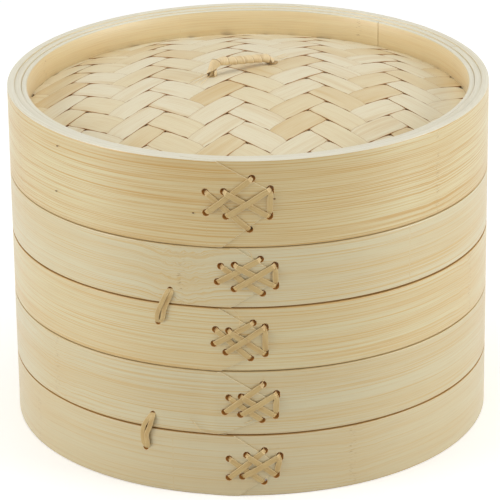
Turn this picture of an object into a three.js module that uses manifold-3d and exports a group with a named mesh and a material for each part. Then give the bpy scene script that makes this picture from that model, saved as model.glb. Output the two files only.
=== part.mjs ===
// A two-tier bamboo steamer with a lid, in millimetres, +Z up.
// The origin is the middle of the circle on which the lower tier stands. The front,
// where the hoops are laced, faces -Y. Distances along a hoop run from the front
// middle towards +X.
import * as THREE from 'three';
import { mergeVertices } from 'three/addons/utils/BufferGeometryUtils.js';
import Module from 'manifold-3d';

// Driving dimensions of the whole steamer
const outerRadius = 127;
const seatGap = 0.3;
const hoopGap = 0.4;
const overrun = 6;
const facetCount = 48;
const holeSides = 6;

// Heights of the five outer hoops, from the table upwards
const lowerFootHeight = 34.25;
const lowerTopHeight = 35.1;
const upperFootHeight = 34.6;
const upperTopHeight = 32.2;
const lidHeight = 46.1;

// Walls of the hoops
const outerWall = 3.8;
const innerWall = 3.2;
const supportWall = 2.5;

// Where an outer hoop laps over itself and is laced
const lapBehind = 14;
const lapRamp = 12;
const skivedWall = 0.7;
const lapTipWall = 0.8;
const laceRelief = 1.1;
const reliefMargin = 3;
const reliefRamp = 7;
const laceWidth = 2.6;
const laceThickness = 0.7;
const laceHoleRadius = 1.9;
const laceDoubling = 2.2;
const laceTail = 4.5;

// The tier's lip, socket and floor
const lipHeight = 8;
const socketDepth = 9.5;
const floorHeight = 17.3;
const barHeight = 5;
const barWidth = 7;
const barSpread = 38;
const slatCount = 13;
const slatThickness = 3;
const slatGap = 3.5;
const floorReachShare = 0.93;
const slatEndGap = 0.5;
const windowMargin = 0.35;

// The ties that hold two outer hoops to the inner one
const tieCount = 3;
const tieWidth = 2.2;
const tieThickness = 0.8;
const tieHoleRadius = 1.6;
const tieRise = 7.7;
const lowerTie = { place: -52.1, lean: 4.5, footLift: 2.2 };
const upperTie = { place: -41.1, lean: 7, footLift: 3.7 };

// The lid's rim and woven top
const lidSocketDepth = 10.5;
const rimStep = 0.5;
const lidInnerWall = 2.5;
const weaveEdgeDepth = 15.1;
const weaveRise = 18;
const weaveThickness = 1.8;
const weaveRingShares = [0, 0.45, 0.78, 1];

// The wound handle on the lid
const handleSpan = 38;
const handleTurn = 0.57;
const handleCentreX = -2.9;
const handleCentreY = 4.9;
const handleClearance = 5.3;
const handleFall = 4.6;
const handleBend = 7;
const handleHook = 3;
const handleTuck = 10;
const handleTuckDepth = 4;
const caneRadius = 1.3;
const caneHoleGap = 0.5;
const caneSides = 6;
const caneSteps = 30;
const caneProbes = 400;
const windingTurns = 7.5;
const windingGap = 0.75;
const windingThickness = 0.8;
const windingEdge = 0.6;
const windingFoot = 2.6;
const windingSteps = 24;

// Seams where the inner hoops' ends meet
const seamGap = 0.4;
const lidRimSeamPlace = 314;
const lidLiningSeamPlace = 250;
const tierSeamPlace = 330;

// Each outer hoop's lacing: its place and lift, its half width, and how far the lap's tip reaches
const laceRiseShare = 0.28;
const tipHeightShare = 0.11;
const lapStartShare = 0.8;
const lowerFoot = { lacePlace: 0.7, laceLift: -0.4, laceHalf: 13, tipShare: 0.85 };
const lowerTop = { lacePlace: -0.1, laceLift: -0.5, laceHalf: 13, tipShare: 0.85 };
const upperFoot = { lacePlace: -5.7, laceLift: 0.1, laceHalf: 13, tipShare: 0.85 };
const upperTop = { lacePlace: -1.4, laceLift: 1.2, laceHalf: 13, tipShare: 0.85 };
const lidBand = { lacePlace: -5.8, laceLift: 0.6, laceHalf: 16, tipShare: 0.95 };

// The eight lace holes, as shares of the lacing's half width and half height
const laceHoleShares = {
  leftHigh: [-0.97, 0.47], midHigh: [-0.41, 0.55], leftLow: [-1, -0.4], midLow: [-0.44, -0.58],
  top: [0.46, 0.98], rightHigh: [1, 0.6], rightLow: [0.96, -0.65], bottom: [0.42, -1],
};

// Colours of the bamboo
const warmBamboo = { color: 0xcdb283, roughness: 0.55, metalness: 0 };
const paleBamboo = { color: 0xdccfa8, roughness: 0.55, metalness: 0 };
const innerBamboo = { color: 0xd9b878, roughness: 0.6, metalness: 0 };
const weaveBamboo = { color: 0xe2dcc4, roughness: 0.6, metalness: 0 };
const underBamboo = { color: 0xb98f5a, roughness: 0.7, metalness: 0 };
const laceBamboo = { color: 0xd2b682, roughness: 0.6, metalness: 0 };
const slatBamboo = { color: 0xd8c596, roughness: 0.6, metalness: 0 };

const wasm = await Module();
wasm.setup();

const steamer = new THREE.Group();
const up = new THREE.Vector3(0, 0, 1);
const fullTurn = 2 * Math.PI;

// Points and directions on a circle round the steamer's axis
function angleOf(place) {
  return place / outerRadius;
}

function onCircle(angle, radius, height) {
  return new THREE.Vector3(radius * Math.sin(angle), -radius * Math.cos(angle), height);
}

function outward(angle) {
  return new THREE.Vector3(Math.sin(angle), -Math.cos(angle), 0);
}

function blend(start, end, share) {
  return start + (end - start) * share;
}

function shareBetween(start, end, value) {
  return Math.min(1, Math.max(0, (value - start) / (end - start)));
}

// Meshes and booleans
function place(name, geometry, finish) {
  const mesh = new THREE.Mesh(geometry, new THREE.MeshStandardMaterial(finish));
  mesh.name = name;
  steamer.add(mesh);
  return mesh;
}

function toSolid(geometry) {
  const bare = geometry.clone();
  bare.deleteAttribute('normal');
  bare.deleteAttribute('uv');
  const merged = mergeVertices(bare);
  return new wasm.Manifold(new wasm.Mesh({
    numProp: 3,
    vertProperties: new Float32Array(merged.attributes.position.array),
    triVerts: new Uint32Array(merged.index.array),
  }));
}

function toGeometry(solid) {
  const mesh = solid.getMesh();
  const geometry = new THREE.BufferGeometry();
  geometry.setAttribute('position', new THREE.BufferAttribute(new Float32Array(mesh.vertProperties), 3));
  geometry.setIndex(new THREE.BufferAttribute(new Uint32Array(mesh.triVerts), 1));
  return geometry;
}

function cutAway(geometry, cutters) {
  let solid = toSolid(geometry);
  for (const cutter of cutters) {
    solid = solid.subtract(toSolid(cutter));
  }
  return toGeometry(solid);
}

// A closed skin through a row of sections with the same number of points each
function loft(sections, joinsItself) {
  const count = sections[0].length;
  const positions = sections.flatMap((section) => section.flatMap((point) => point.toArray()));
  const triangles = [];
  const spans = joinsItself ? sections.length : sections.length - 1;
  for (let row = 0; row < spans; row += 1) {
    const next = (row + 1) % sections.length;
    for (let corner = 0; corner < count; corner += 1) {
      const beside = (corner + 1) % count;
      const a = row * count + corner;
      const b = row * count + beside;
      const c = next * count + beside;
      const d = next * count + corner;
      triangles.push(a, b, c, a, c, d);
    }
  }
  if (!joinsItself) {
    const last = (sections.length - 1) * count;
    for (let corner = 1; corner < count - 1; corner += 1) {
      triangles.push(0, corner + 1, corner, last, last + corner, last + corner + 1);
    }
  }
  if (enclosedVolume(positions, triangles) < 0) {
    triangles.reverse();
  }
  const geometry = new THREE.BufferGeometry();
  geometry.setAttribute('position', new THREE.Float32BufferAttribute(positions, 3));
  geometry.setIndex(triangles);
  return geometry;
}

function enclosedVolume(positions, triangles) {
  const corner = (index) => new THREE.Vector3().fromArray(positions, index * 3);
  let volume = 0;
  for (let first = 0; first < triangles.length; first += 3) {
    const [a, b, c] = triangles.slice(first, first + 3).map(corner);
    volume += a.dot(b.cross(c));
  }
  return volume;
}

// A rod that points outwards from the axis, to cut a lace or tie hole
function holeCutter(holePlace, height, holeRadius, nearRadius, farRadius) {
  const angle = angleOf(holePlace);
  const rod = new THREE.CylinderGeometry(holeRadius, holeRadius, farRadius - nearRadius, holeSides);
  rod.applyQuaternion(new THREE.Quaternion().setFromUnitVectors(new THREE.Vector3(0, 1, 0), outward(angle)));
  const middle = onCircle(angle, (nearRadius + farRadius) / 2, height);
  return rod.translate(middle.x, middle.y, middle.z);
}

// Angles of a hoop's sections: an even grid, and the places where its shape changes
function stationAngles(start, end, keys) {
  const step = fullTurn / facetCount;
  const kept = [start, end, ...keys].filter((angle) => angle >= start && angle <= end);
  const grid = [];
  for (let index = Math.ceil(start / step); index * step < end; index += 1) {
    const angle = index * step;
    if (kept.every((key) => Math.abs(key - angle) > step / 4)) {
      grid.push(angle);
    }
  }
  return [...new Set([...kept, ...grid])].sort((first, second) => first - second);
}

// An inner hoop: a strip bent into a circle, its ends butting at a seam
function plainHoop(innerRadius, outerEdge, bottom, top, seamPlace) {
  const halfSeam = angleOf(seamGap / 2);
  const start = angleOf(seamPlace) + halfSeam;
  const angles = stationAngles(start, start + fullTurn - 2 * halfSeam, []);
  return loft(angles.map((angle) => [
    onCircle(angle, innerRadius, bottom), onCircle(angle, outerEdge, bottom),
    onCircle(angle, outerEdge, top), onCircle(angle, innerRadius, top),
  ]), false);
}

// The lap of an outer hoop: every radius and height that it and its lace share
function lapOf(band, bottom, height) {
  const half = band.laceHalf;
  const rise = height * laceRiseShare;
  const centre = bottom + height / 2 + band.laceLift;
  const innerEdge = outerRadius - outerWall;
  const lap = {
    half, rise, centre, bottom, innerEdge, top: bottom + height, place: band.lacePlace,
    behind: -half - lapBehind, start: -half * lapStartShare, tip: half * band.tipShare,
    tipHalfHeight: height * tipHeightShare,
  };
  lap.underOuter = (offset) => blend(
    innerEdge + laceRelief + skivedWall, outerRadius, shareBetween(lap.behind, lap.tip, offset));
  lap.underInner = (offset) => innerEdge
    + laceRelief * (1 - shareBetween(half + reliefMargin, half + reliefMargin + reliefRamp, offset));
  lap.overInner = (offset) => blend(innerEdge, lap.underOuter(offset) + seatGap,
    shareBetween(lap.behind - lapRamp, lap.behind, offset));
  lap.overOuter = (offset) => outerRadius
    + (seatGap + lapTipWall) * shareBetween(lap.behind, lap.tip, offset);
  lap.hole = (name) => {
    const [across, rises] = laceHoleShares[name];
    return { place: lap.place + half * across, height: centre + rise * rises };
  };
  return lap;
}

// An outer hoop: one strip that runs right round and laps over its own start.
// The lap's end is cut to a blunt tongue, and eight holes take the lace.
function lappedHoop(lap) {
  const keys = [lap.behind, -lap.half, lap.start, 0, lap.tip,
    lap.half + reliefMargin, lap.half + reliefMargin + reliefRamp];
  const keyAngles = keys.map((offset) => angleOf(lap.place + offset));
  const rampAngle = angleOf(lap.place + lap.behind - lapRamp);
  const start = keyAngles[0];
  const end = angleOf(lap.place + lap.tip) + fullTurn;
  const angles = stationAngles(start, end,
    [...keyAngles, rampAngle + fullTurn, ...keyAngles.map((angle) => angle + fullTurn)]);
  const tip = angleOf(lap.place + lap.tip);
  const sections = angles.map((angle) => {
    const isOver = angle > tip + fullTurn / 2;
    const offset = (angle - (isOver ? fullTurn : 0)) * outerRadius - lap.place;
    const inner = isOver ? lap.overInner(offset) : lap.underInner(offset);
    const outer = isOver ? lap.overOuter(offset) : lap.underOuter(offset);
    const taper = isOver ? shareBetween(lap.start, lap.tip, offset) : 0;
    const low = blend(lap.bottom, lap.centre - lap.tipHalfHeight, taper);
    const high = blend(lap.top, lap.centre + lap.tipHalfHeight, taper);
    return [onCircle(angle, inner, low), onCircle(angle, outer, low),
      onCircle(angle, outer, high), onCircle(angle, inner, high)];
  });
  const cutters = Object.keys(laceHoleShares).map((name) => {
    const hole = lap.hole(name);
    return holeCutter(hole.place, hole.height, laceHoleRadius, lap.innerEdge - overrun,
      outerRadius + overrun);
  });
  for (const [name, side] of [['rightHigh', -1], ['rightLow', 1]]) {
    const hole = lap.hole(name);
    cutters.push(holeCutter(hole.place, hole.height + side * laceDoubling, laceHoleRadius,
      lap.innerEdge - overrun, outerRadius + overrun));
  }
  return { geometry: loft(sections, false), cutters };
}

// A flat strip that turns square corners in and out of holes.
// Each point has its place, height and radius. Between points of like radius the
// strip lies flat on its hoop, and in a hole it stands on edge and turns to suit.
function ribbon(points, width, thickness, joinsItself) {
  const spots = points.map((point) => onCircle(angleOf(point.place), point.radius, point.height));
  const spans = [];
  const spanCount = joinsItself ? points.length : points.length - 1;
  let flatBefore = null;
  for (let index = 0; index < spanCount; index += 1) {
    const next = (index + 1) % points.length;
    const tangent = spots[next].clone().sub(spots[index]).normalize();
    const radial = outward(angleOf((points[index].place + points[next].place) / 2));
    const span = { tangent, isFlat: Math.abs(tangent.dot(radial)) < Math.SQRT1_2 };
    if (span.isFlat) {
      const leftHole = index > 0 && !spans[index - 1].isFlat;
      const turnsBack = flatBefore && leftHole && flatBefore.tangent.dot(tangent) < 0;
      span.facing = (flatBefore?.facing ?? 1) * (turnsBack ? -1 : 1);
      span.normal = radial.addScaledVector(tangent, -radial.dot(tangent)).normalize()
        .multiplyScalar(span.facing);
      flatBefore = span;
    }
    spans.push(span);
  }
  const sections = spots.map((spot, index) => {
    const before = spans[index - 1] ?? (joinsItself ? spans[spanCount - 1] : undefined);
    const after = spans[index];
    const flat = before?.isFlat ? before : after;
    const side = flat.tangent.clone().cross(flat.normal).normalize().multiplyScalar(width / 2);
    const thick = flat.normal.clone().multiplyScalar(thickness / 2);
    if (before && after && before.isFlat !== after.isFlat) {
      const hole = before.isFlat ? after : before;
      const outOfCorner = flat.tangent.clone().multiplyScalar(before.isFlat ? 1 : -1);
      const intoHole = hole.tangent.dot(flat.normal) * (before.isFlat ? -1 : 1);
      thick.addScaledVector(outOfCorner, (Math.sign(intoHole) * thickness) / 2);
    }
    return [spot.clone().add(side).add(thick), spot.clone().sub(side).add(thick),
      spot.clone().sub(side).sub(thick), spot.clone().add(side).sub(thick)];
  });
  return loft(sections, joinsItself);
}

// The lace of one lap: a single strip, in and out of the holes
function laceOf(lap) {
  const inside = lap.innerEdge + (laceRelief - hoopGap) / 2;
  const layer = laceThickness + seatGap;
  const overStrip = (spot) => lap.overOuter(Math.min(spot.place - lap.place, lap.tip))
    + seatGap + laceThickness / 2;
  const points = [];
  const add = (spot, radius) => points.push({ place: spot.place, height: spot.height, radius });
  const shifted = (spot, across, rises) => ({ place: spot.place + across, height: spot.height + rises });
  const between = (from, to, share) => ({
    place: blend(from.place, to.place, share), height: blend(from.height, to.height, share) });
  const strand = (from, to, liftShares) => {
    for (const [share, lift] of liftShares) {
      const spot = between(from, to, share);
      add(spot, overStrip(spot) + layer * lift);
    }
  };
  const straightShares = [[0, 0], [1, 0]];
  const flatShares = [[0, 0], [0.5, 0], [1, 0]];
  const fallShares = [[0, 1], [0.3, 1], [0.6, 1], [0.8, 0.3], [1, 0]];
  const riseShares = [[0, 0], [0.27, 0], [0.54, 0], [0.7, 1], [1, 1]];
  const highPair = shifted(lap.hole('rightHigh'), 0, -laceDoubling);
  const lowPair = shifted(lap.hole('rightLow'), 0, laceDoubling);
  add(shifted(lap.hole('midLow'), laceTail, 0), inside);
  add(lap.hole('midLow'), inside);
  strand(lap.hole('midLow'), lap.hole('rightHigh'), fallShares);
  add(lap.hole('rightHigh'), inside);
  add(highPair, inside);
  strand(highPair, lowPair, straightShares);
  add(lowPair, inside);
  add(lap.hole('rightLow'), inside);
  strand(lap.hole('rightLow'), lap.hole('midHigh'), riseShares);
  add(lap.hole('midHigh'), inside);
  add(lap.hole('leftHigh'), inside);
  strand(lap.hole('leftHigh'), lap.hole('bottom'), flatShares);
  add(lap.hole('bottom'), inside);
  add(lap.hole('top'), inside);
  strand(lap.hole('top'), lap.hole('leftLow'), riseShares);
  add(lap.hole('leftLow'), inside);
  add(shifted(lap.hole('leftLow'), 0, laceTail), inside);
  return ribbon(points, laceWidth, laceThickness, false);
}

// A tier: two outer hoops on one inner hoop, a slatted floor and three ties
function addTier(name, base, foot, top, tie) {
  const seam = base + foot.height + seatGap;
  const footLap = lapOf(foot, base, foot.height);
  const topLap = lapOf(top, seam, top.height);
  const wallOuter = outerRadius - outerWall - hoopGap;
  const wallInner = wallOuter - innerWall;
  const supportOuter = wallInner - hoopGap;
  const wallBottom = base + socketDepth;
  const wallTop = topLap.top + lipHeight;
  const floorUnder = base + floorHeight;
  const barTop = floorUnder - seatGap;
  const barBottom = barTop - barHeight;
  const tieLow = floorUnder + slatThickness + tie.footLift;
  const tieHigh = seam + tieRise;

  const ties = [];
  for (let index = 0; index < tieCount; index += 1) {
    const turn = (index * fullTurn * outerRadius) / tieCount;
    ties.push({ high: tie.place + turn, low: tie.place + turn - tie.lean });
  }
  const tieCutter = (tiePlace, height) => holeCutter(
    tiePlace, height, tieHoleRadius, supportOuter - overrun, outerRadius + overrun);

  const footHoop = lappedHoop(footLap);
  const topHoop = lappedHoop(topLap);
  const footCuts = ties.map((each) => tieCutter(each.low, tieLow));
  const topCuts = ties.map((each) => tieCutter(each.high, tieHigh));
  place(`${name}_foot_hoop`, cutAway(footHoop.geometry, [...footHoop.cutters, ...footCuts]), foot.finish);
  place(`${name}_top_hoop`, cutAway(topHoop.geometry, [...topHoop.cutters, ...topCuts]), top.finish);
  place(`${name}_foot_lace`, laceOf(footLap), laceBamboo);
  place(`${name}_top_lace`, laceOf(topLap), laceBamboo);

  const windows = [-1, 1].map((side) => {
    const window = new THREE.BoxGeometry(barWidth + 2 * windowMargin, 2 * (outerRadius + overrun),
      barHeight + 2 * windowMargin);
    return window.translate(side * barSpread, 0, (barBottom + barTop) / 2);
  });
  const wall = plainHoop(wallInner, wallOuter, wallBottom, wallTop, tierSeamPlace);
  place(`${name}_inner_hoop`, cutAway(wall, [...footCuts, ...topCuts, ...windows]), innerBamboo);

  const support = plainHoop(supportOuter - supportWall, supportOuter, wallBottom, barTop, tierSeamPlace);
  const notches = [-1, 1].map((side) => {
    const notchHeight = barHeight + windowMargin + overrun;
    const notch = new THREE.BoxGeometry(barWidth + 2 * windowMargin, 2 * outerRadius, notchHeight);
    return notch.translate(side * barSpread, 0, barBottom - windowMargin + notchHeight / 2);
  });
  place(`${name}_support_hoop`, cutAway(support, notches), innerBamboo);

  const barCorner = barSpread + barWidth / 2;
  const barLength = 2 * (Math.sqrt(wallOuter ** 2 - barCorner ** 2) - hoopGap);
  [-1, 1].forEach((side, index) => {
    const bar = new THREE.BoxGeometry(barWidth, barLength, barHeight);
    place(`${name}_cross_bar_${index + 1}`, bar, slatBamboo)
      .position.set(side * barSpread, 0, (barBottom + barTop) / 2);
  });

  const floorRadius = wallInner - slatEndGap;
  const pitch = (2 * floorRadius * floorReachShare) / slatCount;
  const slatWidth = pitch - slatGap;
  for (let index = 0; index < slatCount; index += 1) {
    const centre = (index - (slatCount - 1) / 2) * pitch;
    const farEdge = Math.abs(centre) + slatWidth / 2;
    const slatLength = 2 * Math.sqrt(floorRadius ** 2 - farEdge ** 2);
    const slat = new THREE.BoxGeometry(slatLength, slatWidth, slatThickness);
    place(`${name}_slat_${index + 1}`, slat, slatBamboo)
      .position.set(0, centre, floorUnder + slatThickness / 2);
  }

  const tieOut = outerRadius + seatGap + tieThickness / 2;
  const tieIn = wallInner - seatGap - tieThickness / 2;
  ties.forEach((each, index) => {
    const loop = ribbon([
      { place: each.high, height: tieHigh, radius: tieOut },
      { place: each.low, height: tieLow, radius: tieOut },
      { place: each.low, height: tieLow, radius: tieIn },
      { place: each.high, height: tieHigh, radius: tieIn },
    ], tieWidth, tieThickness, true);
    place(`${name}_tie_${index + 1}`, loop, laceBamboo);
  });
  return topLap.top;
}

// A domed sheet, flat where the hoops clamp its edge, with a hole for each cane leg
function domedSheet(edgeRadius, domeRadius, topAtEdge, thickness, legs) {
  const topPoints = weaveRingShares.map((share) => new THREE.Vector2(
    domeRadius * share, topAtEdge + weaveRise * (1 - share ** 2)));
  const rim = [topAtEdge, topAtEdge - thickness].map((height) => new THREE.Vector2(edgeRadius, height));
  const underPoints = topPoints.map((point) => new THREE.Vector2(point.x, point.y - thickness)).reverse();
  const profile = [...topPoints, ...rim, ...underPoints].reverse();
  const sheet = new THREE.LatheGeometry(profile, facetCount);
  sheet.rotateX(Math.PI / 2);
  const holes = legs.map((leg) => {
    const rod = new THREE.CylinderGeometry(caneRadius + caneHoleGap, caneRadius + caneHoleGap,
      2 * (weaveRise + thickness), holeSides);
    return rod.rotateX(Math.PI / 2).translate(leg.x, leg.y, topAtEdge + weaveRise);
  });
  return cutAway(sheet, holes);
}

// The cane's centre line: hooked ends under the weave, two legs and a low bar
function caneLine(domeTop, sheetBottom) {
  const direction = new THREE.Vector3(Math.cos(handleTurn), Math.sin(handleTurn), 0);
  const centre = new THREE.Vector3(handleCentreX, handleCentreY, 0);
  const at = (reach, height) => centre.clone().addScaledVector(direction, reach).addScaledVector(up, height);
  const barHeightAt = domeTop + handleClearance + windingThickness + seatGap + caneRadius;
  const tuckHeight = sheetBottom - handleTuckDepth;
  const half = handleSpan / 2;
  const corners = [
    at(-half + handleTuck, tuckHeight), at(-half, tuckHeight), at(-half, barHeightAt),
    at(half, barHeightAt - handleFall), at(half, tuckHeight), at(half - handleTuck, tuckHeight),
  ];
  const bends = [0, handleHook, handleBend, handleBend, handleHook, 0];
  const path = new THREE.CurvePath();
  let from = corners[0];
  for (let index = 1; index < corners.length - 1; index += 1) {
    const corner = corners[index];
    const intoBend = corner.clone().add(
      corners[index - 1].clone().sub(corner).setLength(bends[index]));
    const outOfBend = corner.clone().add(
      corners[index + 1].clone().sub(corner).setLength(bends[index]));
    path.add(new THREE.LineCurve3(from, intoBend));
    path.add(new THREE.QuadraticBezierCurve3(intoBend, corner, outOfBend));
    from = outOfBend;
  }
  path.add(new THREE.LineCurve3(from, corners[corners.length - 1]));
  return { path, direction, legs: [at(-half, 0), at(half, 0)] };
}

// How far along the cane it first rises past a height, from its start or from its end
function shareAtHeight(path, height, fromEnd) {
  for (let step = 0; step <= caneProbes; step += 1) {
    const share = fromEnd ? 1 - step / caneProbes : step / caneProbes;
    if (path.getPointAt(share).z > height) {
      return share;
    }
  }
  return fromEnd ? 0 : 1;
}

// A round rod along a flat curve, its section square to the curve
function rodAlong(path, across, radius) {
  const sections = [];
  for (let step = 0; step <= caneSteps; step += 1) {
    const spot = path.getPointAt(step / caneSteps);
    const normal = path.getTangentAt(step / caneSteps).cross(across).normalize();
    const ring = [];
    for (let side = 0; side < caneSides; side += 1) {
      const turn = (side * fullTurn) / caneSides;
      ring.push(spot.clone().addScaledVector(across, radius * Math.cos(turn))
        .addScaledVector(normal, radius * Math.sin(turn)));
    }
    sections.push(ring);
  }
  return loft(sections, false);
}

// The flat strip wound round the cane, as one unbroken helix
function windingAlong(path, across, startShare, endShare) {
  const length = path.getLength() * (endShare - startShare);
  const centreRadius = caneRadius + seatGap + windingThickness / 2;
  const pitch = length / windingTurns;
  const slope = Math.atan(pitch / (fullTurn * centreRadius));
  const halfWidth = (pitch * Math.cos(slope) - windingGap) / 2;
  const total = Math.round(windingTurns * windingSteps);
  const probe = 1 / (total * windingSteps);
  const sections = [];
  for (let step = 0; step <= total; step += 1) {
    const share = blend(startShare, endShare, step / total);
    const spot = path.getPointAt(share);
    const tangent = path.getTangentAt(share);
    const normal = tangent.clone().cross(across).normalize();
    const curl = path.getTangentAt(share + probe).sub(path.getTangentAt(share - probe))
      .divideScalar(2 * probe * path.getLength());
    const turn = (step * fullTurn) / windingSteps;
    const radial = across.clone().multiplyScalar(Math.cos(turn)).addScaledVector(normal, Math.sin(turn));
    const around = across.clone().multiplyScalar(-Math.sin(turn)).addScaledVector(normal, Math.cos(turn));
    const squeeze = 1 - centreRadius * curl.dot(radial);
    const widthways = tangent.clone().multiplyScalar(Math.cos(slope))
      .addScaledVector(around, -Math.sin(slope));
    const outlineShares = [[-1, 0, 0], [-1, 1, 1], [1, 1, -1], [1, 0, 0], [1, -1, -1], [-1, -1, 1]];
    sections.push(outlineShares.map(([wide, thick, inset]) => spot.clone()
      .addScaledVector(radial, centreRadius + (thick * windingThickness) / 2)
      .addScaledVector(widthways, (wide * halfWidth + inset * windingEdge) * squeeze)));
  }
  printLeastGap(sections);
  return loft(sections, false);
}

// The least distance between neighbouring turns, measured on the sections' points
function printLeastGap(sections) {
  let least = Infinity;
  sections.forEach((section, index) => {
    for (let other = index + windingSteps / 2; other < sections.length; other += 1) {
      for (const point of section) {
        for (const opposite of sections[other]) {
          least = Math.min(least, point.distanceTo(opposite));
        }
      }
    }
  });
  console.log(`least gap of the handle winding to itself: ${least.toFixed(2)} mm`);
}

// The lid: a lapped hoop, two lining hoops above the weave and one below, and a handle
function addLid(base) {
  const lap = lapOf(lidBand, base, lidHeight);
  const outer = lappedHoop(lap);
  place('lid_outer_hoop', cutAway(outer.geometry, outer.cutters), warmBamboo);
  place('lid_lace', laceOf(lap), laceBamboo);

  const middleOuter = outerRadius - outerWall - hoopGap;
  const middleInner = middleOuter - innerWall;
  const innerOuter = middleInner - hoopGap;
  const innerInner = innerOuter - lidInnerWall;
  const liningBottom = base + lidSocketDepth;
  const weaveTop = lap.top - weaveEdgeDepth;
  const underTop = weaveTop - weaveThickness - seatGap;
  const sheetBottom = underTop - weaveThickness;
  place('lid_middle_hoop', plainHoop(middleInner, middleOuter, liningBottom, lap.top - rimStep,
    lidLiningSeamPlace), paleBamboo);
  place('lid_upper_hoop', plainHoop(innerInner, innerOuter, weaveTop + seatGap, lap.top - 2 * rimStep,
    lidRimSeamPlace), innerBamboo);
  place('lid_lower_hoop', plainHoop(innerInner, innerOuter, liningBottom, sheetBottom - seatGap,
    lidLiningSeamPlace), innerBamboo);

  const domeTop = weaveTop + weaveRise;
  const cane = caneLine(domeTop, sheetBottom + weaveRise);
  const across = cane.direction.clone().cross(up);
  const domeRadius = innerInner - seatGap;
  const sheetAt = (topAtEdge) => domedSheet(innerOuter, domeRadius, topAtEdge, weaveThickness, cane.legs);
  place('lid_woven_top', sheetAt(weaveTop), weaveBamboo);
  place('lid_under_weave', sheetAt(underTop), underBamboo);
  place('lid_handle_cane', rodAlong(cane.path, across, caneRadius), innerBamboo);

  const [startShare, endShare] = cane.legs.map((leg, index) => {
    const legTop = weaveTop + weaveRise * (1 - leg.lengthSq() / domeRadius ** 2);
    return shareAtHeight(cane.path, legTop + windingFoot, index === 1);
  });
  place('lid_handle_winding', windingAlong(cane.path, across, startShare, endShare), laceBamboo);
}

// The two tiers and the lid, one above the other
const lowerTier = {
  foot: { ...lowerFoot, height: lowerFootHeight, finish: paleBamboo },
  top: { ...lowerTop, height: lowerTopHeight, finish: paleBamboo },
  tie: lowerTie,
};
const upperTier = {
  foot: { ...upperFoot, height: upperFootHeight, finish: warmBamboo },
  top: { ...upperTop, height: upperTopHeight, finish: paleBamboo },
  tie: upperTie,
};
const lowerTierTop = addTier('lower', 0, lowerTier.foot, lowerTier.top, lowerTier.tie);
const upperTierTop = addTier('upper', lowerTierTop + seatGap, upperTier.foot, upperTier.top, upperTier.tie);
addLid(upperTierTop + seatGap);

export default steamer;
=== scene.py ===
# %% [markdown]
# A bamboo steamer: two round tiers and a lid, stacked. Every wall is a long strip of split
# bamboo, bent into a hoop and laced where it laps over its own start. This script dresses the
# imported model. It keeps every place and size of the frame, and makes each surface again, finely
# enough for round edges, real lace holes, woven strips and wood grain.

# %% The frame
import math
import random

import bmesh
import bpy
import numpy as np
from mathutils import Matrix, Vector


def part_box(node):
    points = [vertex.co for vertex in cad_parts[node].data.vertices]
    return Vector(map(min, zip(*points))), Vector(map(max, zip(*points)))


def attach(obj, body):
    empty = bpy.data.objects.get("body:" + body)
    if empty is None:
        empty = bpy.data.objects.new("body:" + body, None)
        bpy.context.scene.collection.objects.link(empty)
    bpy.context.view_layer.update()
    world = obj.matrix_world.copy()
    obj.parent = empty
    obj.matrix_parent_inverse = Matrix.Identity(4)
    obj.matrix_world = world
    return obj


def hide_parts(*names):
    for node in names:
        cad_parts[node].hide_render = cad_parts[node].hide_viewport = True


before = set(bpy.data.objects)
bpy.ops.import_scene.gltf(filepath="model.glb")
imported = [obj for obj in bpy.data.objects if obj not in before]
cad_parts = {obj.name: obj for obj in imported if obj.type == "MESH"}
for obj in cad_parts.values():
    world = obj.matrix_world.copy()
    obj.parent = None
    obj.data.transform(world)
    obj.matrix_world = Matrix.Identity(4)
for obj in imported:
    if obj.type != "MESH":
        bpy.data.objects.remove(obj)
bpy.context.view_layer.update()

# %% [markdown]
# The camera comes first, because everything else is judged through it. The photograph was taken
# from far away with a long lens, a little above the lid. The lens, distance, height and the small
# roll were worked out from the rim's and the foot's outlines, which are true circles.

# %% Camera
MM = 0.001
CAMERA_DISTANCE = 1800.17 * MM
CAMERA_ELEVATION = math.radians(22.073)
CAMERA_ROLL = math.radians(-0.709)
CAMERA_AIM_HEIGHT = 84.59 * MM
CAMERA_LENS = 240.5
SENSOR_WIDTH = 36


def add_camera():
    back = Vector((0, -math.cos(CAMERA_ELEVATION), math.sin(CAMERA_ELEVATION)))
    level = Vector((1, 0, 0))
    upright = back.cross(level)
    across = level * math.cos(CAMERA_ROLL) + upright * math.sin(CAMERA_ROLL)
    raised = back.cross(across)
    data = bpy.data.cameras.new("photo_camera")
    data.lens = CAMERA_LENS
    data.sensor_width = SENSOR_WIDTH
    camera = bpy.data.objects.new("photo_camera", data)
    bpy.context.scene.collection.objects.link(camera)
    place = Matrix((across, raised, back)).transposed().to_4x4()
    place.translation = Vector((0, 0, CAMERA_AIM_HEIGHT)) + back * CAMERA_DISTANCE
    camera.matrix_world = place
    bpy.context.scene.camera = camera
    return camera


camera = add_camera()
print("camera at", [round(value, 3) for value in camera.location])

# %% [markdown]
# Shader and geometry trees are easier to read as sums than as boxes. A wire stands for one output
# socket. Adding or multiplying wires adds Math nodes behind the scenes, and one method makes any
# other node from its type, its settings and the values of its sockets.

# %% Wires and trees
class Wire:
    """One output socket, which takes part in sums with other wires and with numbers."""

    def __init__(self, tree, socket):
        self.tree = tree
        self.socket = socket

    def also(self, output):
        """Another output of the same node."""
        return Wire(self.tree, self.socket.node.outputs[output])

    def __add__(self, other):
        return self.tree.maths("ADD", self, other)

    def __sub__(self, other):
        return self.tree.maths("SUBTRACT", self, other)

    def __rsub__(self, other):
        return self.tree.maths("SUBTRACT", other, self)

    def __mul__(self, other):
        return self.tree.maths("MULTIPLY", self, other)

    def __truediv__(self, other):
        return self.tree.maths("DIVIDE", self, other)

    __radd__ = __add__
    __rmul__ = __mul__


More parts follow.
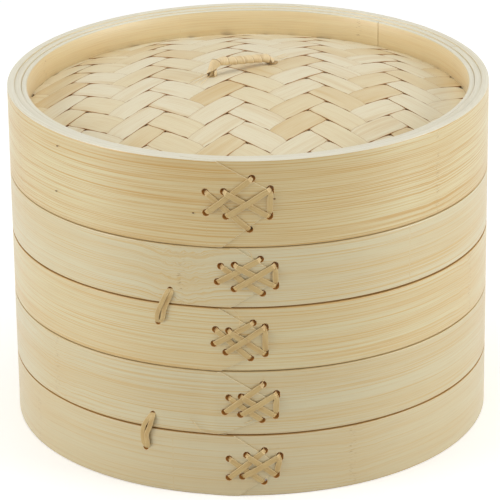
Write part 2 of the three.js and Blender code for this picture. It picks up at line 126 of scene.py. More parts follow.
class Tree:
    """A node tree of a material or of Geometry Nodes."""

    def __init__(self, tree):
        self.nodes = tree.nodes
        self.links = tree.links

    def node(self, kind, settings=None, sockets=None, output=0):
        """Any node: its type, then its settings, then the values or wires of its sockets."""
        made = self.nodes.new(kind)
        for name, value in (settings or {}).items():
            if name == "stops":
                self.set_stops(made.color_ramp, value)
            else:
                setattr(made, name, value)
        for name, value in (sockets or {}).items():
            if isinstance(value, Wire):
                self.links.new(value.socket, made.inputs[name])
            else:
                made.inputs[name].default_value = value
        return Wire(self, made.outputs[output]) if made.outputs else made

    @staticmethod
    def set_stops(ramp, stops):
        while len(ramp.elements) < len(stops):
            ramp.elements.new(1)
        for element, (position, colour) in zip(ramp.elements, stops):
            element.position = position
            element.color = colour

    def maths(self, operation, *terms):
        return self.node("ShaderNodeMath", {"operation": operation}, dict(enumerate(terms)))

    def limited(self, value, low, high):
        return self.maths("MINIMUM", self.maths("MAXIMUM", value, low), high)

    def step(self, value, low, high):
        """0 below low, 1 above high, and a smooth rise between them."""
        limits = {"Value": value, "From Min": low, "From Max": high}
        return self.node("ShaderNodeMapRange", {"interpolation_type": "SMOOTHSTEP"}, limits)

    def point(self, x, y, z=0.0):
        return self.node("ShaderNodeCombineXYZ", None, {0: x, 1: y, 2: z})


class Finish(Tree):
    """A material under construction, ending in one Principled shader."""

    def __init__(self, name):
        self.material = bpy.data.materials.new(name)
        self.material.use_nodes = True
        super().__init__(self.material.node_tree)
        self.nodes.clear()
        self.shader = self.nodes.new("ShaderNodeBsdfPrincipled")
        output = self.nodes.new("ShaderNodeOutputMaterial")
        self.links.new(self.shader.outputs[0], output.inputs[0])

    def set(self, name, value):
        if isinstance(value, Wire):
            self.links.new(value.socket, self.shader.inputs[name])
        else:
            self.shader.inputs[name].default_value = value

    def mix(self, share, first, second, blend="MIX"):
        settings = {"data_type": "RGBA", "blend_type": blend}
        return self.node("ShaderNodeMix", settings, {0: share, 6: first, 7: second}, output=2)

    def noise(self, x, y, z=0.0, detail=2.0, roughness=0.5):
        sockets = {"Vector": self.point(x, y, z), "Scale": 1.0, "Detail": detail, "Roughness": roughness}
        return self.node("ShaderNodeTexNoise", None, sockets)

    def bump(self, height, distance, strength=1.0):
        sockets = {"Height": height, "Distance": distance, "Strength": strength}
        self.set("Normal", self.node("ShaderNodeBump", None, sockets))


def tone(red, green, blue):
    """A colour given as it looks on a screen, from 0 to 255, as the linear colour of a shader."""
    shares = [value / 255 for value in (red, green, blue)]
    linear = [s / 12.92 if s <= 0.04045 else ((s + 0.055) / 1.055) ** 2.4 for s in shares]
    return (*linear, 1.0)


print("wires and trees are ready")

# %% [markdown]
# Split bamboo is a bundle of long fibres. Along a strip they run for centimetres, and across it
# they change every fraction of a millimetre, so each grain pattern is a noise stretched a
# hundredfold along the strip. The pattern reads the strip's own map in metres, first along the
# strip and then round its section, so it bends with the hoop and runs on over the rim. The second
# map holds the distances to the strip's edge and to the nearest growth node, where the fibres
# break up into short brown dashes.

# %% Bamboo finishes
LINE_PITCH = 0.8 * MM
THIN_PITCH = 0.42 * MM
FIBRE_PITCH = 0.3 * MM
FRONT_SHADE_FADE = 92 * MM
OUTER_WALL_RADIUS = 127 * MM
KNOT_REACH = 3 * MM
SWERVE_REACH = 26 * MM


def strip_place(finish):
    place = finish.node("ShaderNodeSeparateXYZ", None,
                        {0: finish.node("ShaderNodeUVMap", {"uv_map": "strip"})})
    return place, place.also(1)


def section_place(finish):
    place = finish.node("ShaderNodeSeparateXYZ", None,
                        {0: finish.node("ShaderNodeUVMap", {"uv_map": "section"})})
    return place, finish.maths("ABSOLUTE", place.also(1))


def bamboo(name, pale, amber, brown, lines=0.6, seed=0.0, skin=0.0, seam=0.0, knots=1.0, swerve=1.0,
           roughness=0.38, relief=0.05, gloss=1.0, front=0.0):
    """Split bamboo with its grain along the strip. skin colours its edges amber; seam browns the very edges as
    painted shade in the seams; front makes the front more amber as painted shade.
    """
    finish = Finish(name)
    along, across = strip_place(finish)
    edge, knot = section_place(finish)
    near_knot = 1 - finish.step(knot, 0.15 * KNOT_REACH, KNOT_REACH)
    near_swerve = 1 - finish.step(knot, 0.1 * SWERVE_REACH, SWERVE_REACH)
    drift = finish.noise(along * 9, across * 30, seed) * (1.4 * MM)
    wobble = finish.noise(along * 130, across * 210, seed + 6) * near_swerve * (2.4 * swerve * MM)
    level = across + drift + wobble
    broad = finish.noise(along * 4, level * 85, seed + 3)
    wide_lines = finish.noise(along * 6, level / LINE_PITCH, seed + 1, detail=3.0, roughness=0.6)
    thin_lines = finish.noise(along * 10, level / THIN_PITCH, seed + 5, detail=2.0)
    fibres = finish.noise(along * 45, level / FIBRE_PITCH, seed + 2, detail=2.0, roughness=0.6)
    wide_mask = finish.step(wide_lines, 0.5, 0.64) * lines
    thin_mask = finish.step(thin_lines, 0.53, 0.64) * (lines * 0.7)
    colour = finish.mix(finish.step(broad, 0.35, 0.7) * 0.3, pale, amber)
    # Painted shade: front turns the colour towards amber on the hoop's front, where it gets less light and sheen
    # than the sides.
    if front:
        spot = finish.node("ShaderNodeTexCoord", output=3)
        behind = finish.node("ShaderNodeSeparateXYZ", None, {0: spot}, output=1)
        colour = finish.mix(finish.step(behind * -1, FRONT_SHADE_FADE, OUTER_WALL_RADIUS) * front, colour, amber)
    colour = finish.mix(wide_mask, colour, amber)
    colour = finish.mix(thin_mask, colour, amber)
    colour = finish.mix(finish.step(fibres, 0.42, 0.72) * 0.13, colour, brown)
    flecks = finish.noise(along * 300, level / (0.5 * MM), seed + 8, detail=2.0)
    dashes = finish.step(flecks, 0.58, 0.68) * near_knot * knots
    colour = finish.mix(dashes * 0.7, colour, brown)
    colour = finish.mix(near_swerve * 0.12 * knots, colour, amber)
    if skin:
        colour = finish.mix((1 - finish.step(edge, 0.3 * MM, 1.3 * MM)) * skin, colour, amber)
    # Painted shade: seam browns the last half millimetre of each edge, where the seams between the hoops lie in
    # shade.
    if seam:
        colour = finish.mix((1 - finish.step(edge, 0.12 * MM, 0.5 * MM)) * seam, colour, brown)
    finish.set("Base Color", colour)
    finish.set("Roughness", finish.step(fibres, 0.2, 0.8) * 0.12 + (roughness - 0.06))
    finish.shader.inputs["Specular IOR Level"].default_value = gloss
    finish.shader.inputs["Sheen Weight"].default_value = 0.2 * gloss
    finish.shader.inputs["Sheen Roughness"].default_value = 0.4
    finish.bump(fibres + wide_mask * 0.6 - dashes * 0.6, relief * MM)
    return finish.material


def hole_painted_shade_and_glow(name):
    """The inside of a drilled hole, painted dark brown as shade, with a faint painted glow from its emission."""
    finish = Finish(name)
    place = finish.node("ShaderNodeTexCoord", output="Object")
    hole_mottle = finish.node("ShaderNodeTexNoise", None, {"Vector": place, "Scale": 900.0, "Detail": 3.0})
    finish.set("Base Color", finish.mix(hole_mottle, tone(158, 106, 52), tone(190, 140, 80)))
    finish.set("Roughness", 0.85)
    # The warm emission is a painted glow that lights the hole's shaded walls.
    finish.set("Emission Color", tone(88, 60, 24))
    finish.shader.inputs["Emission Strength"].default_value = 1.0
    finish.bump(hole_mottle, 0.1 * MM)
    return finish.material


BROWN = tone(156, 114, 52)
AMBER = tone(200, 162, 96)
finishes = {
    # The lid's front=0.25 paints its front more amber as painted shade.
    "lid_face": bamboo("lid_face", tone(218, 206, 160), tone(198, 154, 70), BROWN, lines=0.95, seed=1.0,
                       skin=0.7, seam=0.3, swerve=0.5, front=0.25),
    "upper_top_face": bamboo("upper_top_face", tone(212, 202, 165), tone(206, 170, 96), BROWN, lines=0.75,
                             seed=11.0, seam=0.6, swerve=2.6),
    "upper_foot_face": bamboo("upper_foot_face", tone(214, 201, 157), tone(205, 164, 86), BROWN, lines=0.7,
                              seed=21.0, skin=0.6, seam=0.7),
    "lower_top_face": bamboo("lower_top_face", tone(209, 198, 160), tone(203, 168, 98), BROWN, lines=0.7,
                             seed=31.0, seam=0.6),
    "lower_foot_face": bamboo("lower_foot_face", tone(209, 196, 157), tone(204, 171, 106), BROWN, lines=0.45,
                              seed=41.0, seam=0.6),
    "inner_face": bamboo("inner_face", tone(212, 196, 152), tone(200, 166, 106), BROWN, lines=0.4, seed=51.0),
    "rim": bamboo("rim", tone(224, 219, 196), tone(208, 194, 158), tone(150, 136, 106), lines=0.5,
                  seed=61.0, knots=0.0, relief=0.08),
    # open_edge and joint_edge are painted shade: the hoops' edges at the seams are painted tan, or brown within a
    # tier, and made matt.
    "open_edge": bamboo("open_edge", tone(208, 186, 138), AMBER, BROWN, lines=0.5, seed=65.0, knots=0.0, gloss=0.3),
    "joint_edge": bamboo("joint_edge", tone(190, 150, 92), tone(166, 122, 64), BROWN, lines=0.5, seed=67.0,
                         knots=0.0, gloss=0.2, roughness=0.8),
    "tongue_edge": bamboo("tongue_edge", tone(228, 214, 174), tone(214, 184, 126), BROWN, lines=0.3, seed=71.0,
                          knots=0.0),
    "inner": bamboo("inner", tone(238, 220, 176), tone(226, 192, 130), BROWN, lines=0.35, seed=81.0),
    "hole": hole_painted_shade_and_glow("hole"),
}
print("finishes:", sorted(finishes))

# %% [markdown]
# Every hoop is a loft: one closed section, repeated at a few hundred stations round the axis and
# joined into a skin. A section has small round edges, because cut bamboo is sanded, and round
# edges catch the light. The loft writes both maps as it goes, since it knows how far along the
# strip each station lies and how far round the section each corner is.

# %% Lofts and sections
FACE, RIM, INNER, HOLE, FOOT, TONGUE = range(6)
EDGE_ROUNDING = 0.32 * MM
FACE_SHARES = (0.0, 0.03, 0.2, 0.4, 0.6, 0.8, 0.97, 1.0)
INNER_SHARES = (1.0, 0.5, 0.0)


def on_circle(angle, radius, height):
    """A point round the steamer's axis. The front is -Y, and angles run towards +X."""
    return (radius * math.sin(angle), -radius * math.cos(angle), height)


def hoop_section(inner, outer, low, high):
    """Points (radius, height) of a rounded rectangle, up the outer face and down the inner one."""
    rounding = min(EDGE_ROUNDING, 0.45 * (outer - inner), 0.45 * (high - low))
    corner = rounding * (1 - math.sqrt(0.5))
    rise = high - low - 2 * rounding
    middle = (inner + outer) / 2
    face = [(outer, low + rounding + rise * share) for share in FACE_SHARES]
    top = [(outer - corner, high - corner), (outer - rounding, high), (middle, high),
           (inner + rounding, high), (inner + corner, high - corner)]
    back = [(inner, low + rounding + rise * share) for share in INNER_SHARES]
    base = [(inner + corner, low + corner), (inner + rounding, low), (middle, low),
            (outer - rounding, low), (outer - corner, low + corner)]
    return face + top + back + base


SECTION_KINDS = ([FACE] * (len(FACE_SHARES) - 1) + [RIM] * 6 + [INNER] * (len(INNER_SHARES) - 1)
                 + [FOOT] * 6)
TONGUE_KINDS = [TONGUE if kind in (RIM, FOOT) else kind for kind in SECTION_KINDS]


def new_object(name, vertices, faces, materials):
    mesh = bpy.data.meshes.new(name)
    mesh.from_pydata([tuple(point) for point in vertices], [], faces)
    for material in materials:
        mesh.materials.append(material)
    piece = bpy.data.objects.new(name, mesh)
    bpy.context.scene.collection.objects.link(piece)
    return piece


def smooth(piece, angle=40):
    piece.data.shade_smooth()
    piece.data.set_sharp_from_angle(angle=math.radians(angle))
    return piece


def volume(vertices, faces):
    total = 0.0
    for face in faces:
        first = vertices[face[0]]
        for second, third in zip(face[1:-1], face[2:]):
            total += float(np.dot(first, np.cross(vertices[second], vertices[third])))
    return total


def loft(name, rings, along, materials, kinds=None, edges=None, knots=None, closed=False, starts=None):
    """A skin through rings of points. along is each ring's distance along the strip, edges each
    ring point's distance to the strip's edge and knots each ring's distance to a growth node.
    starts is where each ring's first point lies across the strip, and kinds has each ring's slots."""
    rings = np.array(rings, float)
    count, corners = rings.shape[:2]
    vertices = rings.reshape(-1, 3)
    steps = np.linalg.norm(np.roll(rings, -1, axis=1) - rings, axis=2)
    around = np.concatenate([np.zeros((count, 1)), np.cumsum(steps, axis=1)], axis=1)
    around += np.zeros((count, 1)) if starts is None else np.array(starts)[:, None]
    edges = np.zeros((count, corners)) if edges is None else np.array(edges)
    edges = np.concatenate([edges, edges[:, :1]], axis=1)
    knots = np.full(count, 1.0) if knots is None else np.array(knots)
    faces, strip_map, section_map, slots = [], [], [], []
    for row in range(count if closed else count - 1):
        after = (row + 1) % count
        end = along[row] + (along[row] - along[row - 1]) if after == 0 else along[after]
        for corner in range(corners):
            beside = (corner + 1) % corners
            faces.append((row * corners + corner, row * corners + beside,
                          after * corners + beside, after * corners + corner))
            strip_map.append([(along[row], around[row][corner]), (along[row], around[row][corner + 1]),
                              (end, around[after][corner + 1]), (end, around[after][corner])])
            section_map.append([(edges[row][corner], knots[row]), (edges[row][corner + 1], knots[row]),
                                (edges[after][corner + 1], knots[after]), (edges[after][corner], knots[after])])
            slots.append(kinds[row][corner] if kinds else 0)
    if not closed:
        for row, order in ((0, range(corners - 1, -1, -1)), (count - 1, range(corners))):
            faces.append(tuple(row * corners + corner for corner in order))
            strip_map.append([(along[row], around[row][corner]) for corner in order])
            section_map.append([(edges[row][corner], knots[row]) for corner in order])
            slots.append(INNER if kinds else 0)
    if volume(vertices, faces) < 0:
        faces = [face[::-1] for face in faces]
        strip_map = [corner_list[::-1] for corner_list in strip_map]
        section_map = [corner_list[::-1] for corner_list in section_map]
    piece = new_object(name, vertices, faces, materials)
    for map_name, rows in (("strip", strip_map), ("section", section_map)):
        layer = piece.data.uv_layers.new(name=map_name)
        layer.data.foreach_set("uv", [value for row in rows for pair in row for value in pair])
    piece.data.polygons.foreach_set("material_index", slots)
    return smooth(piece)


def solid_of(piece):
    """Replaces a piece's mesh by what its modifiers make of it, and removes them."""
    graph = bpy.context.evaluated_depsgraph_get()
    mesh = bpy.data.meshes.new_from_object(piece.evaluated_get(graph))
    piece.modifiers.clear()
    piece.data = mesh
    mesh.name = piece.name
    return piece


def settle(piece, body, slot, *nodes):
    """The piece moves with its body and stands for its CAD nodes; slot is not used."""
    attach(piece, body)
    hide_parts(*nodes)
    print(f"{piece.name}: {len(piece.data.polygons)} faces on {body}")
    return piece


print("section of", len(SECTION_KINDS), "points")

# %% [markdown]
# Holes are drilled, so they are cut with a boolean: one rod for each hole, pointing outwards from
# the axis, and all rods of a hoop in one cutter. The rods carry the hole material, dark brown as
# painted shade with a faint painted glow, and the boolean hands it to the walls that it cuts.

# %% Drills
OUTER_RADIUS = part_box("lower_foot_hoop")[1].x
DRILL_SIDES = 20
DRILL_MARGIN = 4 * MM


def angle_of(place):
    """The angle of a place, which is a distance along the outer hoops from the front middle."""
    return place / OUTER_RADIUS


def drilled(piece, holes, inner, outer):
    """Cuts holes (place, height, radius, stretch) through a hoop. stretch lengthens a hole upwards."""
    vertices, faces = [], []
    for place, height, radius, stretch in holes:
        angle = angle_of(place)
        first = len(vertices)
        for reach in (inner - DRILL_MARGIN, outer + DRILL_MARGIN):
            centre = Vector(on_circle(angle, reach, height))
            sideways = Vector((math.cos(angle), math.sin(angle), 0))
            for side in range(DRILL_SIDES):
                turn = side * math.tau / DRILL_SIDES
                rise = math.sin(turn) * radius + math.copysign(stretch / 2, math.sin(turn))
                vertices.append(centre + sideways * math.cos(turn) * radius + Vector((0, 0, rise)))
        for side in range(DRILL_SIDES):
            beside = (side + 1) % DRILL_SIDES
            faces.append((first + side, first + beside, first + DRILL_SIDES + beside,
                          first + DRILL_SIDES + side))
        faces.append(tuple(range(first, first + DRILL_SIDES))[::-1])
        faces.append(tuple(range(first + DRILL_SIDES, first + 2 * DRILL_SIDES)))
    cutter = new_object("drills", vertices, faces, [finishes["hole"]])
    return cut_by(piece, cutter)


def cut_by(piece, cutter):
    bm = bmesh.new()
    bm.from_mesh(cutter.data)
    bmesh.ops.recalc_face_normals(bm, faces=bm.faces)
    bm.to_mesh(cutter.data)
    bm.free()
    cut = piece.modifiers.new("cut", "BOOLEAN")
    cut.object = cutter
    cut.operation = "DIFFERENCE"
    cut.solver = "EXACT"
    cut.material_mode = "TRANSFER"
    solid_of(piece)
    bpy.data.objects.remove(cutter)
    return smooth(piece)


print("outer radius", round(OUTER_RADIUS / MM, 2), "mm")

# %% [markdown]
# The five outer hoops are the main pieces. Each is one strip that starts thin, runs right round,
# and ends in a thin tongue over its own start. The tongue is cut slanting above and below, so the
# seam shows as two short diagonal lines that meet at the lacing. Each hoop has its own measures:
# where the lace's middle is, how far the cuts reach, and where its growth nodes lie. The
# top and bottom edges waver by a fraction of a millimetre, as hand-split strips do, which gives
# the seams between the tiers their uneven dark line; brown painted shade on the hoops' edges
# darkens that line further.

# %% Outer hoops
OUTER_WALL = 3.8 * MM
LAP_BEHIND = 14 * MM
LAP_RAMP = 18 * MM
LAP_WALL = 0.6 * MM
LAP_SEAT = 0.1 * MM
SKIVED_WALL = 0.5 * MM
HOOP_STATIONS = 240
HOLE_RADIUS = 1.85 * MM
HOLE_DOUBLING = 1.4 * MM
WAVER_IN = 0.16 * MM

# Each hoop in millimetres: the middle and the half width of its lacing, each cut's start and end as
# (place, height over the hoop's foot), how far the tongue reaches, how much its edges waver and the
# places of its growth nodes. Then its eight holes, as (across, up) from the lacing's middle
OUTER_HOOPS = {
    "lower_foot_hoop": dict(
        body="lower_tier", slot="hoop_pale", edges=("joint_edge", "open_edge"), place=0.7, lift=-0.4, half=13, tip=11.5, waver=0.25,
        upper_cut=((-9.4, 34.25), (2.5, 25.7)), lower_cut=((-7.2, 0), (-0.9, 4.6)), nodes=(53, -138, 262),
        left_high=(-12.6, 4.5), mid_high=(-3.7, 6.7), left_low=(-12.8, -6.1), mid_low=(-5.9, -5.4),
        top=(5.4, 8.8), right_high=(13.3, 5.6), right_low=(11.3, -5.3), bottom=(5, -8.8)),
    "lower_top_hoop": dict(
        body="lower_tier", slot="hoop_pale", edges=("open_edge", "joint_edge"), place=-0.1, lift=-0.5, half=13, tip=11, waver=0.2,
        upper_cut=((-15.6, 35.1), (0, 25.4)), lower_cut=((-17.3, 0), (-1.1, 6.15)), nodes=(-117, 171, -296),
        left_high=(-11.5, 3.9), mid_high=(-5.2, 4.6), left_low=(-13.6, -4.1), mid_low=(-5.6, -5.4),
        top=(5.9, 11), right_high=(12.7, 5.6), right_low=(12.1, -6.8), bottom=(5.1, -8.8)),
    "upper_foot_hoop": dict(
        body="upper_tier", slot="hoop_warm", edges=("joint_edge", "open_edge"), place=-5.7, lift=0.1, half=13, tip=5.4, waver=0.3,
        upper_cut=((-16, 34.6), (-6.5, 28.75)), lower_cut=((-15.7, 0), (-4, 5.85)), nodes=(143, -201, 330),
        left_high=(-12.1, 5.6), mid_high=(-5.5, 5.2), left_low=(-13, -2.2), mid_low=(-7, -6.7),
        top=(6.8, 9.2), right_high=(12.8, 6.9), right_low=(12.7, -8), bottom=(5.3, -10.1)),
    "upper_top_hoop": dict(
        body="upper_tier", slot="hoop_pale", edges=("open_edge", "joint_edge"), place=-1.4, lift=1.2, half=13, tip=9.7, waver=0.2,
        upper_cut=((-6.8, 32.2), (8, 22.05)), lower_cut=((-10.1, 0), (1.1, 7.05)), nodes=(-35.5, 214, -262),
        left_high=(-13.3, 5.3), mid_high=(-6.5, 6.1), left_low=(-15.1, -3.2), mid_low=(-6.7, -6.8),
        top=(6.5, 8.9), right_high=(13.8, 5.4), right_low=(14, -6.1), bottom=(7.4, -9.6)),
    "lid_outer_hoop": dict(
        body="lid", slot="hoop_warm", edges=("rim", "open_edge"), place=-5.8, lift=0.6, half=16, tip=9.4, waver=0.12,
        upper_cut=((-16.8, 46.1), (10.3, 30.45)), lower_cut=((-14, 0), (4.6, 14.75)), nodes=(108.5, -152, 290),
        left_high=(-16.1, 5.8), mid_high=(-6.9, 6.4), left_low=(-15.9, -5.2), mid_low=(-5.9, -6.7),
        top=(7.1, 13.2), right_high=(16.2, 7.4), right_low=(15.7, -7.2), bottom=(5.7, -13.9)),
}
LACE_HOLES = ("left_high", "mid_high", "left_low", "mid_low", "top", "right_high", "right_low", "bottom")


def share_between(start, end, value):
    return min(1.0, max(0.0, (value - start) / (end - start)))


def blend(start, end, share):
    return start + (end - start) * share


def ease(share):
    return share * share * (3 - 2 * share)


def waver(seed):
    """A smooth closed wave round the hoop, from -1 to 1."""
    chance = random.Random(seed)
    parts = [(count, chance.uniform(0, math.tau), chance.uniform(0.4, 1.0)) for count in (2, 3, 5, 8, 13)]
    total = sum(size for _, _, size in parts)
    return lambda angle: sum(size * math.sin(count * angle + phase) for count, phase, size in parts) / total


class Lap:
    """Where an outer hoop laps: the radii of both layers, the cuts and the lace holes."""

    def __init__(self, name):
        known = OUTER_HOOPS[name]
        low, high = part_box(name)
        self.name, self.body, self.slot = name, known["body"], known["slot"]
        self.low, self.high = low.z, high.z
        self.place, self.half = known["place"] * MM, known["half"] * MM
        self.centre = (low.z + high.z) / 2 + known["lift"] * MM
        self.waver = known["waver"] * MM
        self.edges = known["edges"]
        self.holes = {hole: known[hole] for hole in LACE_HOLES}
        self.tip = known["tip"] * MM
        self.cuts = [[(place * MM, self.low + height * MM) for place, height in known[side]]
                     for side in ("upper_cut", "lower_cut")]
        self.behind = self.place - self.half - LAP_BEHIND
        self.full = min(cut[0][0] for cut in self.cuts)
        self.nodes = [place * MM for place in known["nodes"]]
        self.inner = OUTER_RADIUS - OUTER_WALL

    def over_outer(self, place):
        return OUTER_RADIUS + (LAP_SEAT + LAP_WALL) * ease(share_between(self.behind, self.full, place))

    def under_outer(self, place):
        return blend(self.inner + SKIVED_WALL, OUTER_RADIUS, share_between(self.behind, self.full, place))

    def over_inner(self, place):
        return blend(self.inner, self.under_outer(place) + LAP_SEAT,
                     share_between(self.behind - LAP_RAMP, self.behind, place))

    def edges_at(self, place):
        """Height of the tongue's lower and upper edge."""
        limits = []
        for (start, first), (end, second) in (self.cuts[1], self.cuts[0]):
            limits.append(first if place < start else blend(first, second, (place - start) / (end - start)))
        return limits

    def hole(self, name):
        across, rises = self.holes[name]
        return self.place + across * MM, self.centre + rises * MM


def stations(start, end, keys, count=HOOP_STATIONS):
    """Places along a hoop from start to end: an even row, closer at the front, and the keys."""
    turn = math.tau * OUTER_RADIUS
    row = {round(index * turn / count, 7) for index in range(-count, 2 * count)}
    row |= {round(place * MM + lap, 7) for place in range(-36, 37) for lap in (0, turn)}
    return sorted({place for place in row | {start, end, *keys} if start <= place <= end})


def nearest_knot(place, nodes):
    turn = math.tau * OUTER_RADIUS
    gaps = [(place - node + turn / 2) % turn - turn / 2 for node in nodes]
    return min(gaps, key=abs)


def outer_hoop(name, seed):
    lap = Lap(name)
    turn = math.tau * OUTER_RADIUS
    keys = [cut[end][0] + turn for cut in lap.cuts for end in (0, 1)]
    places = stations(lap.behind, lap.tip + turn, [*keys, lap.full, lap.full + turn])
    top_waver, foot_waver, side_waver = waver(seed), waver(seed + 1), waver(seed + 2)
    rings, edges, knots, starts, kinds = [], [], [], [], []
    for place in places:
        is_over = place > lap.tip + turn / 2
        front = place - turn if is_over else place
        angle = angle_of(place)
        inset = WAVER_IN * (1 + side_waver(angle)) / 2
        if is_over:
            inner, outer = lap.over_inner(front), lap.over_outer(front)
            low, high = lap.edges_at(front)
        else:
            inner, outer = lap.inner, lap.under_outer(front)
            low, high = lap.low, lap.high
        low = max(low, lap.low + lap.waver * (1 + foot_waver(angle)) / 2)
        high = min(high, lap.high - lap.waver * (1 + top_waver(angle)) / 2)
        section = hoop_section(inner - inset, outer - inset, low, high)
        rings.append([on_circle(angle, radius, height) for radius, height in section])
        edges.append([min(height - lap.low, lap.high - height) for _, height in section])
        knots.append(nearest_knot(place, lap.nodes))
        starts.append(section[0][1] - lap.low)
        kinds.append(TONGUE_KINDS if is_over and front > lap.full else SECTION_KINDS)
    face = name.replace("_outer_hoop", "_face").replace("_hoop", "_face")
    slots = (face, lap.edges[0], "inner", "hole", lap.edges[1], "tongue_edge")
    materials = [finishes[slot] for slot in slots]
    along = [place + seed for place in places]
    return lap, loft(f"{name}_strip", rings, along, materials, kinds, edges, knots, starts=starts)


laps = {}
hoops = {}
for number, hoop_name in enumerate(OUTER_HOOPS):
    laps[hoop_name], hoops[hoop_name] = outer_hoop(hoop_name, 10 * number + 3)
    print(hoop_name, "laced at", round(laps[hoop_name].place / MM, 1), "mm")

# %% [markdown]
# The ties come next, because their holes go through the outer hoops too. A tie is a loop of two
# thin strands that holds a tier's two outer hoops to its inner hoop. It goes in at one hole and
# out at the other, and there are three on each tier.

# %% Tie places
TIER_HOOPS = {"lower": ("lower_foot_hoop", "lower_top_hoop"), "upper": ("upper_foot_hoop", "upper_top_hoop")}
TIE_COUNT = 3
TIE_HOLE_RADIUS = 1.5 * MM
TIE_HIGH_OVER_SEAM = 7.7 * MM
SLAT_TOPS = {tier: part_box(f"{tier}_slat_7")[1].z for tier in TIER_HOOPS}
TIES = {"lower": dict(place=-52.1 * MM, lean=4.5 * MM, foot_lift=2.2 * MM),
        "upper": dict(place=-41.1 * MM, lean=7 * MM, foot_lift=3.7 * MM)}


def tie_ends(tier):
    """The high and low hole of each tie of a tier."""
    tie = TIES[tier]
    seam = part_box(TIER_HOOPS[tier][1])[0].z
    turn = math.tau * OUTER_RADIUS / TIE_COUNT
    return [((tie["place"] + turn * index, seam + TIE_HIGH_OVER_SEAM),
             (tie["place"] + turn * index - tie["lean"], SLAT_TOPS[tier] + tie["foot_lift"]))
            for index in range(TIE_COUNT)]


# %% Lace and tie holes
def lace_drills(lap):
    drills = []
    for name in LACE_HOLES:
        place, height = lap.hole(name)
        doubling = {"right_high": -HOLE_DOUBLING, "right_low": HOLE_DOUBLING}.get(name, 0.0)
        drills.append((place, height + doubling / 2, HOLE_RADIUS, abs(doubling)))
    return drills


for hoop_name, lap in laps.items():
    drills = lace_drills(lap)
    for tier, (foot, top) in TIER_HOOPS.items():
        if hoop_name in (foot, top):
            drills += [(*ends[0 if hoop_name == top else 1], TIE_HOLE_RADIUS, 0.0) for ends in tie_ends(tier)]
    drilled(hoops[hoop_name], drills, lap.inner, OUTER_RADIUS)
    settle(hoops[hoop_name], lap.body, lap.slot, hoop_name)

# %% [markdown]
# The inner hoops are plain rings whose ends butt at a seam. Their top edges are the pale circles
# that show beside the outer hoop's rim, so they get the same round edges and the same grain. The
# seams are real gaps of a few tenths of a millimetre.

# %% Inner hoops
SEAM_GAP = 0.4 * MM
TIER_SEAM = 330 * MM
LID_RIM_SEAM = 314 * MM
LID_LINING_SEAM = 250 * MM
INNER_WALL = 3.2 * MM
THIN_WALL = 2.5 * MM
INNER_WAVER = 0.2 * MM
HOOP_GAP = 0.4 * MM
SNUG_FIT = 0.28 * MM
PRESSED_IN = 1.1 * MM


def inner_hoop(name, wall, seam, seed):
    low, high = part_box(name)
    outer = high.x + SNUG_FIT
    pressed_in = PRESSED_IN if name == "lid_upper_hoop" else 0.0
    places = stations(seam + SEAM_GAP / 2, seam + math.tau * OUTER_RADIUS - SEAM_GAP / 2, [])
    top_waver, foot_waver = waver(seed), waver(seed + 1)
    rings, edges, knots = [], [], []
    chance = random.Random(seed)
    nodes = [seam + 14 * MM, seam + chance.uniform(220, 300) * MM, seam + chance.uniform(470, 560) * MM]
    for place in places:
        angle = angle_of(place)
        bottom = low.z + INNER_WAVER * (1 + foot_waver(angle)) / 2
        top = high.z - INNER_WAVER * (1 + top_waver(angle)) / 2
        section = hoop_section(high.x - wall, outer, bottom - pressed_in, top)
        rings.append([on_circle(angle, radius, height) for radius, height in section])
        edges.append([min(height - bottom, top - height) for _, height in section])
        knots.append(nearest_knot(place, nodes))
    materials = [finishes[slot] for slot in ("inner_face", "rim", "inner", "hole", "rim")]
    along = [place + seed for place in places]
    return loft(f"{name}_strip", rings, along, materials, [SECTION_KINDS] * len(places), edges, knots)


INNER_HOOPS = {
    "lid_middle_hoop": ("lid", "hoop_pale", INNER_WALL, LID_LINING_SEAM),
    "lid_upper_hoop": ("lid", "inner_hoop", THIN_WALL, LID_RIM_SEAM),
    "lid_lower_hoop": ("lid", "inner_hoop", THIN_WALL, LID_LINING_SEAM),
    "upper_inner_hoop": ("upper_tier", "inner_hoop", INNER_WALL, TIER_SEAM),
    "upper_support_hoop": ("upper_tier", "inner_hoop", THIN_WALL, TIER_SEAM),
    "lower_inner_hoop": ("lower_tier", "inner_hoop", INNER_WALL, TIER_SEAM),
    "lower_support_hoop": ("lower_tier", "inner_hoop", THIN_WALL, TIER_SEAM),
}
BAR_MARGIN = 0.35 * MM


def bar_windows(tier, opens_above):
    """Cutters round both cross bars, for the hoops that they pass through."""
    vertices, faces = [], []
    for index in (1, 2):
        low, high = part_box(f"{tier}_cross_bar_{index}")
        low = low - Vector((BAR_MARGIN, OUTER_WALL, BAR_MARGIN))
        high = high + Vector((BAR_MARGIN, OUTER_WALL, OUTER_WALL if opens_above else BAR_MARGIN))
        first = len(vertices)
        vertices += [(x, y, z) for z in (low.z, high.z) for y in (low.y, high.y) for x in (low.x, high.x)]
        faces += [tuple(first + corner for corner in face) for face in
                  ((0, 1, 3, 2), (4, 6, 7, 5), (0, 4, 5, 1), (2, 3, 7, 6), (0, 2, 6, 4), (1, 5, 7, 3))]
    return new_object("windows", vertices, faces, [finishes["inner"]])


for number, (hoop_name, (body, slot, wall, seam)) in enumerate(INNER_HOOPS.items()):
    hoop = inner_hoop(hoop_name, wall, seam, 100 + 7 * number)
    tier = hoop_name.split("_")[0]
    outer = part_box(hoop_name)[1].x
    if hoop_name.endswith("_inner_hoop"):
        ends = [end for pair in tie_ends(tier) for end in pair]
        drilled(hoop, [(*end, TIE_HOLE_RADIUS, 0.0) for end in ends], outer - wall, outer)
        cut_by(hoop, bar_windows(tier, opens_above=False))
    if hoop_name.endswith("_support_hoop"):
        cut_by(hoop, bar_windows(tier, opens_above=True))
    settle(hoop, body, slot, hoop_name)

